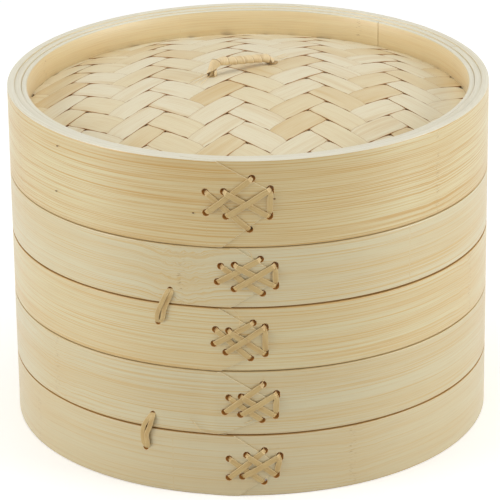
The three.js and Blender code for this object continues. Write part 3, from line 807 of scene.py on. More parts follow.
# %% [markdown]
# Laces, ties and the handle's winding are flat strips that bend but hardly stretch. One ribbon
# function makes them all: it takes a row of spots, each with the direction of the strip's width,
# and lofts a thin section with round edges along them.

# %% Ribbons
LACE_WIDTH = 3.0 * MM
LACE_THICKNESS = 0.65 * MM


def lace_finish(name, pale, amber, seed, pale_edge_or_shade=0.5):
    """Thin split strip: fine fibres lengthwise, and cut edges a little lighter, or below zero edges painted darker
    as shade.
    """
    finish = Finish(name)
    along, across = strip_place(finish)
    edge, _ = section_place(finish)
    fibres = finish.noise(along * 60, across * 3600, seed, detail=3.0, roughness=0.6)
    patches = finish.noise(along * 90, across * 300, seed + 4)
    colour = finish.mix(finish.step(fibres, 0.35, 0.75) * 0.7, pale, amber)
    colour = finish.mix(finish.step(patches, 0.48, 0.75) * 0.35, colour, tone(170, 126, 70))
    pale_or_shaded_edge = (1 - finish.step(edge, 0.08 * MM, 0.4 * MM)) * abs(pale_edge_or_shade)
    # Below zero the edge band is painted dark brown as shade.
    colour = finish.mix(pale_or_shaded_edge, colour, tone(226, 206, 162) if pale_edge_or_shade > 0 else tone(120, 80, 38))
    finish.set("Base Color", colour)
    finish.set("Roughness", 0.5)
    finish.shader.inputs["Specular IOR Level"].default_value = 0.4
    finish.bump(fibres, 0.06 * MM)
    return finish.material


finishes["lace"] = lace_finish("lace", tone(210, 184, 130), tone(188, 152, 92), 41.0)
RIBBON_OUTLINE = ((-1, -0.35), (-0.93, -0.85), (-0.6, -1), (0, -1), (0.6, -1), (0.93, -0.85), (1, -0.35),
                  (1, 0.35), (0.93, 0.85), (0.6, 1), (0, 1), (-0.6, 1), (-0.93, 0.85), (-1, 0.35))


def ribbon(name, spots, sides, widths, thickness, materials, closed=False, shift=0.0):
    """A strip along spots. sides points across the strip, widths is its width at each spot."""
    spots = [Vector(spot) for spot in spots]
    count = len(spots)
    rings, along, edges, distance = [], [], [], shift
    for index, spot in enumerate(spots):
        before = spots[index - 1] if index or closed else spots[0]
        after = spots[(index + 1) % count] if index + 1 < count or closed else spots[-1]
        ahead = (after - before).normalized()
        side = Vector(sides[index])
        side = (side - ahead * side.dot(ahead)).normalized()
        normal = ahead.cross(side)
        rings.append([spot + side * (x * widths[index] / 2) + normal * (y * thickness / 2)
                      for x, y in RIBBON_OUTLINE])
        edges.append([(1 - abs(x)) * widths[index] / 2 for x, _ in RIBBON_OUTLINE])
        along.append(distance)
        distance += (spots[(index + 1) % count] - spot).length
    return loft(name, rings, along, materials, edges=edges, closed=closed)


def straighten(sides):
    """Turns each side the short way from the one before, so that the strip never flips over."""
    kept = [Vector(sides[0])]
    for side in sides[1:]:
        side = Vector(side)
        kept.append(-side if side.dot(kept[-1]) < 0 else side)
    return kept


print("ribbon of", len(RIBBON_OUTLINE), "corners")

# %% [markdown]
# Each lace is a single strip through all eight holes of its lap. Outside it runs straight from
# hole to hole, one layer higher where it crosses another run; at a hole it bends down over the
# edge, narrows a little and turns on its way through the wall. The order of the holes and of the
# crossings is the same on every hoop, as it is in the photograph.

# %% Laces
LACE_STEPS = 16
LACE_DIP = 1.7 * MM
HOLE_WIDTH = 2.1 * MM
INSIDE_GAP = 0.35 * MM
LACE_TAIL = 4.5 * MM

# Outer runs of a lace, in order: from hole, to hole, and its level at the start and the end
LACE_RUNS = [
    ("mid_low", "right_high", (1, 1, 1, 0.3, 0)),
    ("right_high", "right_low", (0, 0, 0, 0, 0)),
    ("right_low", "mid_high", (0, 0, 0.2, 1, 1)),
    ("left_high", "bottom", (0, 0, 0, 0, 0)),
    ("top", "left_low", (0, 0, 0.4, 1, 1)),
]


def level_at(levels, share):
    spot = share * (len(levels) - 1)
    index = min(int(spot), len(levels) - 2)
    return blend(levels[index], levels[index + 1], ease(spot - index))


def outer_run(lap, start, end, levels):
    """Spots, sides and widths of one run on the outside, from the middle of one hole to another."""
    spots, sides, widths = [], [], []
    layer = LACE_THICKNESS + 0.08 * MM
    run = Vector((end[0] - start[0], end[1] - start[1]))
    for step in range(LACE_STEPS + 1):
        share = step / LACE_STEPS
        place, height = start[0] + run.x * share, start[1] + run.y * share
        from_end = min(share, 1 - share) * run.length
        dip = LACE_DIP * (1 - share_between(0, 1.5 * MM, from_end)) ** 2
        surface = max(lap.over_outer(place), OUTER_RADIUS)
        radius = surface + 0.06 * MM + LACE_THICKNESS / 2 + layer * level_at(levels, share) - dip
        spots.append(on_circle(angle_of(place), radius, height))
        heading = run.normalized()
        angle = angle_of(place)
        sides.append((-heading.y * math.cos(angle), -heading.y * math.sin(angle), heading.x))
        widths.append(blend(HOLE_WIDTH, LACE_WIDTH, share_between(0, 2.4 * MM, from_end)))
    return spots, sides, widths


def lace(lap, name, seed):
    inside = lap.inner - HOOP_GAP * 0.5
    spots, sides, widths = [], [], []

    def dip_through(place, height, side):
        for radius in (blend(inside, OUTER_RADIUS, 0.4), inside):
            spots.append(on_circle(angle_of(place), radius, height))
            sides.append(side)
            widths.append(HOLE_WIDTH)

    for number, (start_name, end_name, levels) in enumerate(LACE_RUNS):
        start, end = list(lap.hole(start_name)), list(lap.hole(end_name))
        if (start_name, end_name) == ("right_high", "right_low"):
            start[1] -= HOLE_DOUBLING
            end[1] += HOLE_DOUBLING
        run_spots, run_sides, run_widths = outer_run(lap, start, end, levels)
        rise_spots = [on_circle(angle_of(start[0]), radius, start[1])
                      for radius in (inside, blend(inside, OUTER_RADIUS, 0.4))]
        spots += rise_spots
        sides += [run_sides[0]] * 2
        widths += [HOLE_WIDTH] * 2
        spots += run_spots
        sides += run_sides
        widths += run_widths
        dip_through(end[0], end[1], run_sides[-1])
    return ribbon(name, spots, straighten(sides), widths, LACE_THICKNESS, [finishes["lace"]],
                  shift=seed * 0.9)


for number, (hoop_name, lap) in enumerate(laps.items()):
    node = hoop_name.replace("_outer_hoop", "_lace").replace("_hoop", "_lace")
    settle(lace(lap, f"{node}_strip", number), lap.body, "lace", node)

# %% Ties
TIE_STRAND_WIDTH = 2.5 * MM
TIE_THICKNESS = 1.0 * MM
TIE_STEPS = 24
# Each strand's way down the outside: (share of the height, place beside the straight line in mm,
# how far it lies over the hoop in mm)
TIE_STRANDS = {
    "lower": (((0, -0.4, -0.6), (0.12, -1.5, 0.7), (0.35, -3.3, 0.6), (0.6, -3.1, 0.5), (0.85, -1.5, 0.5),
               (1, 0.3, -0.6)),
              ((0, 0.5, -0.6), (0.12, 0.6, 0.9), (0.35, 0.2, 1.0), (0.6, -0.6, 1.0), (0.85, 0.9, 0.9),
               (1, 0.8, -0.6))),
    "upper": (((0, -0.6, -0.6), (0.12, -1.0, 0.9), (0.4, -1.5, 1.0), (0.7, -1.7, 1.0), (0.88, -0.9, 0.9),
               (1, -0.4, -0.6)),
              ((0, 0.8, -0.6), (0.14, 1.3, 0.5), (0.4, 0.9, 0.4), (0.65, 1.1, 0.5), (0.88, 1.9, 0.6),
               (1, 0.8, -0.6))),
}
# The front ties stand off as far as is seen, and the two behind lie closer
SNUG_BACK = 0.3
tier_inner = {tier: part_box(f"{tier}_inner_hoop")[1].x - INNER_WALL for tier in TIER_HOOPS}


def curve_through(points, share):
    """A smooth value between given points: the first item is the share, the others are values."""
    for index in range(len(points) - 1):
        if share <= points[index + 1][0]:
            break
    before = points[max(index - 1, 0)]
    start, end = points[index], points[index + 1]
    after = points[min(index + 2, len(points) - 1)]
    t = (share - start[0]) / (end[0] - start[0])
    values = []
    for column in range(1, len(start)):
        slope_in = (end[column] - before[column]) / (end[0] - before[0]) * (end[0] - start[0])
        slope_out = (after[column] - start[column]) / (after[0] - start[0]) * (end[0] - start[0])
        values.append(start[column] * (1 - t) ** 2 * (1 + 2 * t) + end[column] * t * t * (3 - 2 * t)
                      + slope_in * t * (1 - t) ** 2 - slope_out * t * t * (1 - t))
    return values


def tie_strand(name, ends, inner, way, snug, seed):
    """One closed strand of a tie: down the outside, in, up the inside wall and out again."""
    (high_place, high), (low_place, low) = ends
    inside = inner - 0.5 * MM
    spots = []
    for step in range(TIE_STEPS + 1):
        share = step / TIE_STEPS
        beside, over = curve_through(way, share)
        place = blend(high_place, low_place, share) + beside * MM
        radius = OUTER_RADIUS + over * snug * MM + 0.15 * MM
        spots.append(on_circle(angle_of(place), radius, blend(high, low, share)))
    for share in (0.35, 0.7, 1.0):
        spots.append(on_circle(angle_of(low_place), blend(OUTER_RADIUS, inside, share), low))
    for share in (0.25, 0.5, 0.75):
        spots.append(on_circle(angle_of(blend(low_place, high_place, share)), inside, blend(low, high, share)))
    for share in (0, 0.35, 0.7):
        spots.append(on_circle(angle_of(high_place), blend(inside, OUTER_RADIUS, share), high))
    middle = angle_of((high_place + low_place) / 2)
    sides = [(math.cos(middle), math.sin(middle), 0)] * len(spots)
    outside = TIE_STEPS + 1
    widths = [TIE_STRAND_WIDTH * blend(0.8, 1, math.sin(math.pi * step / TIE_STEPS) ** 0.4)
              for step in range(outside)] + [0.8 * TIE_STRAND_WIDTH] * (len(spots) - outside)
    return ribbon(name, spots, sides, widths, TIE_THICKNESS, [finishes["lace"]], closed=True, shift=seed)


def joined(name, parts):
    """Several closed meshes as one piece, with their maps kept."""
    base = parts[0]
    with bpy.context.temp_override(active_object=base, selected_editable_objects=parts,
                                   selected_objects=parts, object=base):
        bpy.ops.object.join()
    base.name = name
    base.data.name = name
    return base


for tier in TIER_HOOPS:
    for index, ends in enumerate(tie_ends(tier)):
        snug = SNUG_BACK if index else 1.0
        strands = [tie_strand(f"strand_{number}", ends, tier_inner[tier], way, snug, index + 5 * number)
                   for number, way in enumerate(TIE_STRANDS[tier])]
        settle(joined(f"{tier}_tie_{index + 1}_strands", strands), f"{tier}_tier", "lace",
               f"{tier}_tie_{index + 1}")

# %% [markdown]
# The lid's top is a twill: two sets of flat strips at right angles, each going over two and under
# two. That is a rule, so Geometry Nodes weave it. A box with many rows stands for one strip, and
# it is set out once for each strip of a direction. Then a formula moves every point: its place
# along and across the strip gives its spot in the circle, the rule says whether it is over or
# under there, and the dome gives the height. The same tree makes the brown sheet underneath.

# %% The weaving tree
def new_group(name, inputs):
    """An empty geometry tree with named inputs, and the wires of its inputs."""
    group = bpy.data.node_groups.new(name, "GeometryNodeTree")
    identifiers = {}
    for label, kind in inputs.items():
        identifiers[label] = group.interface.new_socket(name=label, in_out="INPUT", socket_type=kind).identifier
    group.interface.new_socket(name="Geometry", in_out="OUTPUT", socket_type="NodeSocketGeometry")
    tree = Tree(group)
    first = tree.node("NodeGroupInput")
    return group, tree, {label: first.also(label) for label in inputs}, identifiers


NUMBER, WHOLE, MATERIAL = "NodeSocketFloat", "NodeSocketInt", "NodeSocketMaterial"
WEAVE_INPUTS = {
    "Pitch": NUMBER, "Strip Width": NUMBER, "Thickness": NUMBER, "Lift": NUMBER, "Radius": NUMBER,
    "Dome Radius": NUMBER, "Dome Rise": NUMBER, "Edge Height": NUMBER, "Along Start": NUMBER,
    "Across Start": NUMBER, "Slant": NUMBER, "Strips": WHOLE, "Rows": WHOLE, "Seed": WHOLE, "Material": MATERIAL,
}
STRIP_CROWN = 0.25 * MM
PINCH = 0.11
TURN_SHARPNESS = 6.0
FLOAT_ARCH = 0.5


def stored(tree, geometry, name, value, domain="POINT", kind="FLOAT"):
    return tree.node("GeometryNodeStoreNamedAttribute", {"data_type": kind, "domain": domain},
                     {"Geometry": geometry, "Name": name, "Value": value})


def named(tree, name):
    return tree.node("GeometryNodeInputNamedAttribute", {"data_type": "FLOAT"}, {"Name": name})


def chance(tree, low, high, identity, seed):
    """A random number that stays the same for one strip."""
    sockets = {2: low, 3: high, "ID": identity, "Seed": seed}
    return tree.node("FunctionNodeRandomValue", {"data_type": "FLOAT"}, sockets, output=1)


def woven_set(tree, wires, direction):
    """The strips of one direction. direction is 1 for strips that run right and back, -1 for the others."""
    count = wires["Strips"]
    points = tree.node("GeometryNodeMeshLine", {"mode": "OFFSET"}, {"Count": count, "Offset": (0, 0, 0)})
    number = tree.node("GeometryNodeInputIndex") - (count - 1) / 2
    points = stored(tree, points, "strip_number", number)
    box = tree.node("GeometryNodeMeshCube", None,
                    {"Size": (1, 1, 1), "Vertices X": wires["Rows"], "Vertices Y": 7, "Vertices Z": 2})
    strips = tree.node("GeometryNodeInstanceOnPoints", None, {"Points": points, "Instance": box})
    strips = tree.node("GeometryNodeRealizeInstances", None, {"Geometry": strips})
    place = tree.node("ShaderNodeSeparateXYZ", None, {0: tree.node("GeometryNodeInputPosition")})
    ahead, across, through = place, place.also(1), place.also(2)
    strip = named(tree, "strip_number")
    identity = strip + (100 if direction < 0 else 0)
    own_start, other_start = wires["Across Start"], wires["Along Start"]
    if direction < 0:
        own_start, other_start = other_start, own_start
    seed = wires["Seed"]
    centre = strip * wires["Pitch"] + own_start + chance(tree, -0.12 * MM, 0.12 * MM, identity, seed)
    width = wires["Strip Width"] * chance(tree, 0.985, 1.005, identity, seed + 1)
    slant = wires["Slant"]
    stretch = slant * slant * 0.5 + slant * direction + 1
    limit = wires["Radius"] * tree.maths("SQRT", stretch) * 0.992
    near = tree.limited(centre - width / 2, limit * -1, limit)
    far = tree.limited(centre + width / 2, limit * -1, limit)
    middle = (near + far) / 2
    reach = tree.maths("SQRT", stretch * wires["Radius"] * wires["Radius"] - middle * middle)
    run = (reach * ahead * 2 - middle * slant * slant * 0.5) / stretch
    beat = (strip + (run - other_start) / wires["Pitch"] - 0.5) * (math.pi / 2)
    swing = tree.maths("COSINE", beat)
    profile = tree.limited(swing * TURN_SHARPNESS, -1, 1) * (1 - FLOAT_ARCH) + swing * FLOAT_ARCH
    pinch = 1 - (1 - tree.step(tree.maths("ABSOLUTE", swing), 0.0, 0.5)) * PINCH
    offset = middle + (far - near) * across * pinch
    x = (run + offset) * math.sqrt(0.5)
    y = (run - offset) * (direction * math.sqrt(0.5)) + x * slant
    spread = (x * x + y * y) / (wires["Dome Radius"] * wires["Dome Radius"])
    dome = wires["Edge Height"] + wires["Dome Rise"] * tree.maths("MAXIMUM", 1 - spread, 0.0)
    crown = (1 - across * across * 4) * STRIP_CROWN
    wander = chance(tree, -0.12 * MM, 0.12 * MM, identity, seed + 2)
    height = dome + profile * wires["Lift"] * direction + through * wires["Thickness"] + crown + wander
    spot = tree.point(x, y, height)
    shift = chance(tree, 0.0, 3.0, identity, seed + 3)
    strips = stored(tree, strips, "tint", chance(tree, 0.0, 1.0, identity, seed + 4))
    strips = stored(tree, strips, "strip", tree.point(run + shift, (across + 0.5) * width + through * width),
                    domain="CORNER", kind="FLOAT2")
    strips = stored(tree, strips, "across_share", across)
    return tree.node("GeometryNodeSetPosition", None, {"Geometry": strips, "Position": spot})


def weaving_tree():
    group, tree, wires, identifiers = new_group("woven_sheet", WEAVE_INPUTS)
    join = tree.node("GeometryNodeJoinGeometry")
    for direction in (1, -1):
        strips = woven_set(tree, wires, direction)
        tree.links.new(strips.socket, join.socket.node.inputs[0])
    solid = tree.node("GeometryNodeRealizeInstances", None, {"Geometry": join})
    painted = tree.node("GeometryNodeSetMaterial", None, {"Geometry": solid, "Material": wires["Material"]})
    tree.node("NodeGroupOutput", None, {0: painted})
    return group, identifiers


def grown(name, group, identifiers, values):
    """A piece made by a geometry tree, turned into a plain mesh."""
    piece = new_object(name, [(0, 0, 0)], [], [])
    growth = piece.modifiers.new("growth", "NODES")
    growth.node_group = group
    for label, value in values.items():
        growth[identifiers[label]] = value
    return smooth(solid_of(piece))


weave_group, weave_sockets = weaving_tree()
print("weaving tree:", len(weave_group.nodes), "nodes")

# %% [markdown]
# Woven strips are thinner and paler than the hoops, and no two have the same colour: most are
# cream, some tan. The tint that the tree gave each strip picks its colour. Fine fibres run
# lengthwise, and each strip's edges are painted brown as shade in the gaps between strips.

# %% The woven sheets
def weave_finish(name, cream, warm, tan, edge_shade_tone, seed, ribs=0.35):
    finish = Finish(name)
    along, across = strip_place(finish)
    tint = finish.node("ShaderNodeAttribute", {"attribute_name": "tint"}, output=2)
    share = finish.node("ShaderNodeAttribute", {"attribute_name": "across_share"}, output=2)
    bands = finish.noise(along * 9, across * 190, seed, detail=2.0)
    fibres = finish.noise(along * 45, across * 2600, seed + 2, detail=3.0, roughness=0.6)
    patches = finish.noise(along * 22, across * 70, seed + 4)
    colour = finish.mix(finish.step(tint, 0.35, 0.95) * 0.7, cream, warm)
    colour = finish.mix(finish.step(tint + patches * 0.5, 1.05, 1.35) * 0.45, colour, tan)
    colour = finish.mix(finish.step(bands, 0.5, 0.72) * ribs, colour, tan)
    colour = finish.mix(finish.step(fibres, 0.45, 0.7) * 0.4, colour, tan)
    # Painted shade: the strip's last edge is painted brown where the gaps between strips lie in shade.
    rim = finish.step(finish.maths("ABSOLUTE", share), 0.48, 0.498)
    colour = finish.mix(rim * 0.85, colour, edge_shade_tone)
    finish.set("Base Color", colour)
    finish.set("Roughness", 0.5)
    finish.shader.inputs["Specular IOR Level"].default_value = 0.35
    finish.bump(fibres + bands, 0.07 * MM)
    return finish.material


finishes["weave"] = weave_finish("weave", tone(226, 216, 186), tone(221, 205, 164), tone(202, 168, 108),
                                 tone(160, 104, 38), 51.0)
finishes["under_weave"] = weave_finish("under_weave", tone(176, 134, 84), tone(150, 106, 60),
                                       tone(120, 80, 42), tone(70, 44, 20), 61.0, ribs=0.6)

WEAVE_PITCH = 14.68 * MM
WEAVE_SLANT = 0.111
WEAVE_REACH = 118.6 * MM
DOME_RADIUS = 116.4 * MM
dome_low, dome_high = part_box("lid_woven_top")
under_low, under_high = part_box("lid_under_weave")
SHEET_THICKNESS = 1.8 * MM
DOME_RISE = dome_high.z - dome_low.z - SHEET_THICKNESS
woven_top = grown("lid_woven_strips", weave_group, weave_sockets, {
    "Pitch": WEAVE_PITCH, "Strip Width": 14.62 * MM, "Thickness": 0.5 * MM, "Lift": 0.46 * MM,
    "Radius": WEAVE_REACH, "Dome Radius": DOME_RADIUS, "Dome Rise": DOME_RISE,
    "Edge Height": dome_low.z + SHEET_THICKNESS / 2, "Along Start": -7.5 * MM, "Across Start": -22.8 * MM,
    "Slant": WEAVE_SLANT, "Strips": 19, "Rows": 180, "Seed": 4, "Material": finishes["weave"],
})
settle(woven_top, "lid", "weave", "lid_woven_top")
under_weave = grown("lid_under_strips", weave_group, weave_sockets, {
    "Pitch": 18 * MM, "Strip Width": 17.2 * MM, "Thickness": 0.5 * MM, "Lift": 0.55 * MM,
    "Radius": WEAVE_REACH, "Dome Radius": DOME_RADIUS, "Dome Rise": DOME_RISE,
    "Edge Height": under_low.z + SHEET_THICKNESS / 2, "Along Start": 5 * MM, "Across Start": 3 * MM,
    "Slant": WEAVE_SLANT, "Strips": 15, "Rows": 110, "Seed": 9, "Material": finishes["under_weave"],
})
settle(under_weave, "lid", "under_weave", "lid_under_weave")

# %% [markdown]
# Thirteen slats lie side by side on two cross bars, cut to the circle. They repeat by a rule too,
# so a second tree makes them: a rounded profile runs along a line, once for each slat, and a
# formula stretches each to the circle's chord.

# %% The slatted floors
SLAT_INPUTS = {"Count": WHOLE, "Pitch": NUMBER, "Width": NUMBER, "Thickness": NUMBER, "Rounding": NUMBER,
               "Radius": NUMBER, "Height": NUMBER, "Seed": WHOLE, "Material": MATERIAL}


def slat_tree():
    group, tree, wires, identifiers = new_group("slatted_floor", SLAT_INPUTS)
    points = tree.node("GeometryNodeMeshLine", {"mode": "OFFSET"},
                       {"Count": wires["Count"], "Offset": (0, 0, 0)})
    number = tree.node("GeometryNodeInputIndex") - (wires["Count"] - 1) / 2
    points = stored(tree, points, "slat_number", number)
    line = tree.node("GeometryNodeCurvePrimitiveLine", {"mode": "POINTS"},
                     {"Start": (-0.5, 0, 0), "End": (0.5, 0, 0)})
    line = tree.node("GeometryNodeResampleCurve", None, {"Curve": line, "Count": 30})
    outline = tree.node("GeometryNodeCurvePrimitiveQuadrilateral", {"mode": "RECTANGLE"},
                        {"Width": wires["Width"], "Height": wires["Thickness"]})
    outline = tree.node("GeometryNodeFilletCurve", {"mode": "POLY"},
                        {"Curve": outline, "Count": 3, "Radius": wires["Rounding"]})
    slat = tree.node("GeometryNodeCurveToMesh", None,
                     {"Curve": line, "Profile Curve": outline, "Fill Caps": True})
    slats = tree.node("GeometryNodeInstanceOnPoints", None, {"Points": points, "Instance": slat})
    slats = tree.node("GeometryNodeRealizeInstances", None, {"Geometry": slats})
    place = tree.node("ShaderNodeSeparateXYZ", None, {0: tree.node("GeometryNodeInputPosition")})
    number = named(tree, "slat_number")
    centre = number * wires["Pitch"]
    far = tree.maths("ABSOLUTE", centre) + wires["Width"] / 2
    chord = tree.maths("SQRT", wires["Radius"] * wires["Radius"] - far * far) * 2
    lift = chance(tree, -0.15 * MM, 0.0, number, wires["Seed"])
    slats = stored(tree, slats, "strip", tree.point(place * chord + number * 1.3, place.also(1) + place.also(2)),
                   domain="CORNER", kind="FLOAT2")
    spot = tree.point(place * chord, centre + place.also(1), wires["Height"] + place.also(2) + lift)
    slats = tree.node("GeometryNodeSetPosition", None, {"Geometry": slats, "Position": spot})
    solid = tree.node("GeometryNodeRealizeInstances", None, {"Geometry": slats})
    painted = tree.node("GeometryNodeSetMaterial", None, {"Geometry": solid, "Material": wires["Material"]})
    tree.node("NodeGroupOutput", None, {0: painted})
    return group, identifiers


slat_group, slat_sockets = slat_tree()
finishes["slat"] = lace_finish("slat", tone(234, 218, 180), tone(216, 188, 138), 71.0)
SLAT_COUNT = 13
for tier in TIER_HOOPS:
    boxes = [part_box(f"{tier}_slat_{index}") for index in range(1, SLAT_COUNT + 1)]
    middle_low, middle_high = boxes[SLAT_COUNT // 2]
    width = middle_high.y - middle_low.y
    half_length = middle_high.x
    floor = grown(f"{tier}_slats", slat_group, slat_sockets, {
        "Count": SLAT_COUNT, "Pitch": boxes[1][0].y - boxes[0][0].y, "Width": width,
        "Thickness": middle_high.z - middle_low.z, "Rounding": 0.8 * MM,
        "Radius": math.hypot(half_length, width / 2), "Height": (middle_low.z + middle_high.z) / 2,
        "Seed": 5, "Material": finishes["slat"],
    })
    settle(floor, f"{tier}_tier", "slat", *[f"{tier}_slat_{index}" for index in range(1, SLAT_COUNT + 1)])
    print(tier, "floor box", [round(value / MM, 1) for value in floor.dimensions])


# %% Cross bars
def cross_bar(tier, index):
    low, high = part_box(f"{tier}_cross_bar_{index}")
    steps = 24
    rings = []
    spots = [blend(low.y, high.y, step / steps) for step in range(steps + 1)]
    for y in spots:
        rings.append([(x, y, z) for x, z in hoop_section(low.x, high.x, low.z, high.z)])
    return loft(f"{tier}_bar_{index}", rings, [y + index for y in spots], [finishes["slat"]])


for tier in TIER_HOOPS:
    for index in (1, 2):
        settle(cross_bar(tier, index), f"{tier}_tier", "slat", f"{tier}_cross_bar_{index}")

# %% [markdown]
# The handle is a loop of cane wound with a flat strip. Its centre line has two short legs and a
# low bar, and the strip climbs round it as a helix. Each turn lies with one edge on the turn
# before, so the bar looks stepped like a row of rings. Both ends of the strip are frayed.

# %% The handle
HANDLE_SPAN = 38 * MM
HANDLE_TURN = 0.57
HANDLE_CENTRE = Vector((-2.9 * MM, 4.9 * MM, 0))
HANDLE_BEND = 7 * MM
HANDLE_HOOK = 3 * MM
HANDLE_TUCK = 10 * MM
HANDLE_FALL = 4.6 * MM
HANDLE_RISE = 7.05 * MM
HANDLE_STEP = 0.25 * MM
CANE_RADIUS = 1.3 * MM
CANE_SIDES = 12
WINDING_TURNS = 8
WINDING_STEPS = 28
WINDING_GAP = 0.1 * MM
WINDING_THICKNESS = 0.5 * MM
WINDING_STEP_UP = 0.48 * MM
WINDING_CROWN = 0.05 * MM
WINDING_FOOT = 0.5 * MM
WINDING_FLARE = 0.6
FLARE_REACH = 4.5 * MM
cane_low, cane_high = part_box("lid_handle_cane")


def rounded_path(corners, bends, step):
    """Points every step along straight lines whose corners are rounded off."""
    corners = [Vector(corner) for corner in corners]
    points = [corners[0]]
    for before, corner, after, bend in zip(corners, corners[1:], corners[2:], bends):
        entry = corner + (before - corner).normalized() * bend
        leave = corner + (after - corner).normalized() * bend
        points.append(entry)
        for index in range(1, 12):
            share = index / 12
            points.append(entry * (1 - share) ** 2 + corner * 2 * share * (1 - share) + leave * share ** 2)
        points.append(leave)
    points.append(corners[-1])
    return even_points(points, step)


def even_points(points, step):
    lengths = [0.0]
    for before, after in zip(points, points[1:]):
        lengths.append(lengths[-1] + (after - before).length)
    count = max(2, round(lengths[-1] / step))
    even = []
    index = 0
    for number in range(count + 1):
        target = lengths[-1] * number / count
        while index < len(points) - 2 and lengths[index + 1] < target:
            index += 1
        share = (target - lengths[index]) / (lengths[index + 1] - lengths[index])
        even.append(points[index].lerp(points[index + 1], share))
    return even


handle_direction = Vector((math.cos(HANDLE_TURN), math.sin(HANDLE_TURN), 0))
handle_across = handle_direction.cross(Vector((0, 0, 1)))


def handle_spot(reach, height):
    return HANDLE_CENTRE + handle_direction * reach + Vector((0, 0, height))


def handle_line():
    top = dome_high.z + HANDLE_RISE
    base = cane_low.z + CANE_RADIUS
    half = HANDLE_SPAN / 2
    corners = [handle_spot(-half + HANDLE_TUCK, base), handle_spot(-half, base), handle_spot(-half, top),
               handle_spot(half, top - HANDLE_FALL), handle_spot(half, base),
               handle_spot(half - HANDLE_TUCK, base)]
    return rounded_path(corners, (HANDLE_HOOK, HANDLE_BEND, HANDLE_BEND, HANDLE_HOOK), HANDLE_STEP)


def dome_height(spot):
    spread = (spot.x ** 2 + spot.y ** 2) / DOME_RADIUS ** 2
    return dome_low.z + SHEET_THICKNESS + DOME_RISE * (1 - spread)


def direction_at(points, index):
    return (points[min(index + 1, len(points) - 1)] - points[max(index - 1, 0)]).normalized()


handle_points = handle_line()
finishes["cane"] = lace_finish("cane", tone(228, 200, 146), tone(200, 158, 98), 81.0)
# The winding's edges are painted dark, a painted shade where each turn lies over the one before.
finishes["winding"] = lace_finish("winding", tone(228, 208, 166), tone(212, 182, 132), 91.0, pale_edge_or_shade=-0.9)


def cane():
    rings, along = [], []
    for index in range(0, len(handle_points), 4):
        spot = handle_points[index]
        normal = direction_at(handle_points, index).cross(handle_across).normalized()
        rings.append([spot + (handle_across * math.cos(side * math.tau / CANE_SIDES)
                              + normal * math.sin(side * math.tau / CANE_SIDES)) * CANE_RADIUS
                      for side in range(CANE_SIDES)])
        along.append(index * HANDLE_STEP)
    return loft("lid_handle_loop", rings, along, [finishes["cane"]])


def winding():
    """The flat strip round the cane, each turn's far edge lying on the turn before."""
    on_lid = [index for index, spot in enumerate(handle_points) if spot.z > dome_height(spot) + WINDING_FOOT]
    first, last = on_lid[0], on_lid[-1]
    total = WINDING_TURNS * WINDING_STEPS
    length = (last - first) * HANDLE_STEP
    pitch = length / WINDING_TURNS
    half_width = pitch * 0.57
    rings, along, edges = [], [], []
    for step in range(total + 1):
        share = step / total
        reach = first + (last - first) * share
        index = min(int(reach), len(handle_points) - 2)
        spot = handle_points[index].lerp(handle_points[index + 1], reach - index)
        ahead = direction_at(handle_points, index)
        normal = ahead.cross(handle_across).normalized()
        bend = (direction_at(handle_points, min(index + 8, len(handle_points) - 1))
                - direction_at(handle_points, max(index - 8, 0))) / (16 * HANDLE_STEP)
        turn = step * math.tau / WINDING_STEPS
        radial = handle_across * math.cos(turn) + normal * math.sin(turn)
        ring = []
        for across, level in RIBBON_OUTLINE:
            beside = min(max(across * half_width, -share * length), (1 - share) * length)
            swell = 1 + WINDING_FLARE * (1 - ease(share_between(0, FLARE_REACH, share * length + beside)))
            layer = WINDING_THICKNESS * (1 + level) / 2 + WINDING_STEP_UP * (across + 1) / 2
            radius = CANE_RADIUS + (WINDING_GAP + layer + WINDING_CROWN * (1 - across * across)) * swell
            ring.append(spot + radial * radius + ahead * beside * (1 - radius * bend.dot(radial)))
        rings.append(ring)
        edges.append([(1 - abs(across)) * half_width for across, _ in RIBBON_OUTLINE])
        along.append(turn * (CANE_RADIUS + WINDING_THICKNESS))
    return loft("lid_handle_wrap", rings, along, [finishes["winding"]], edges=edges)


settle(cane(), "lid", "inner_hoop", "lid_handle_cane")
settle(winding(), "lid", "lace", "lid_handle_winding")

# %% [markdown]
# Split bamboo sheds fibres. A few hairs stand off the laces' ends, a splinter lies along one seam, and
# the handle's wound strip is frayed where it ends. They are hair-thin tubes through a few given places.
# Round each leg of the handle the weave has a rough hole, so a small ring of torn fibres lies there;
# its dark browns are partly the hole and partly painted shade under the winding's end.

# %% Loose fibres
FIBRE_RADIUS = 0.17 * MM
FIBRE_SIDES = 5
FIBRE_STEP = 0.6 * MM
# Places on the hoops: (along from the front, height, how far it stands off) in millimetres
HOOP_FIBRES = {
    "upper_tier": (((-1.3, 136.4, 0.3), (0.5, 134.4, 1.0), (1.1, 131.1, 0.5)),
                   ((-8.4, 104.0, 0.5), (-6.6, 101.9, 1.0), (-5.6, 98.7, 1.2), (-5.7, 95.7, 1.0), (-6.7, 93.1, 0.4)),
                   ((-7.9, 93.4, 1.5), (-5.3, 90.6, 1.8), (-1.2, 87.6, 1.7))),
    "lower_tier": (((5.2, 63.2, 0.6), (6.0, 65.8, 1.3), (6.4, 67.9, 1.6)),
                   ((1.0, 46.4, 0.4), (0.6, 44.0, 1.0), (-1.0, 42.7, 0.8), (-4.2, 41.3, 0.3)),
                   ((-31.8, 43.3, 0.9), (-29.5, 40.4, 0.8), (-26.8, 36.9, 0.4)),
                   ((-26.9, 36.4, 0.35), (-20.5, 35.6, 0.5), (-13.0, 34.9, 0.3))),
}
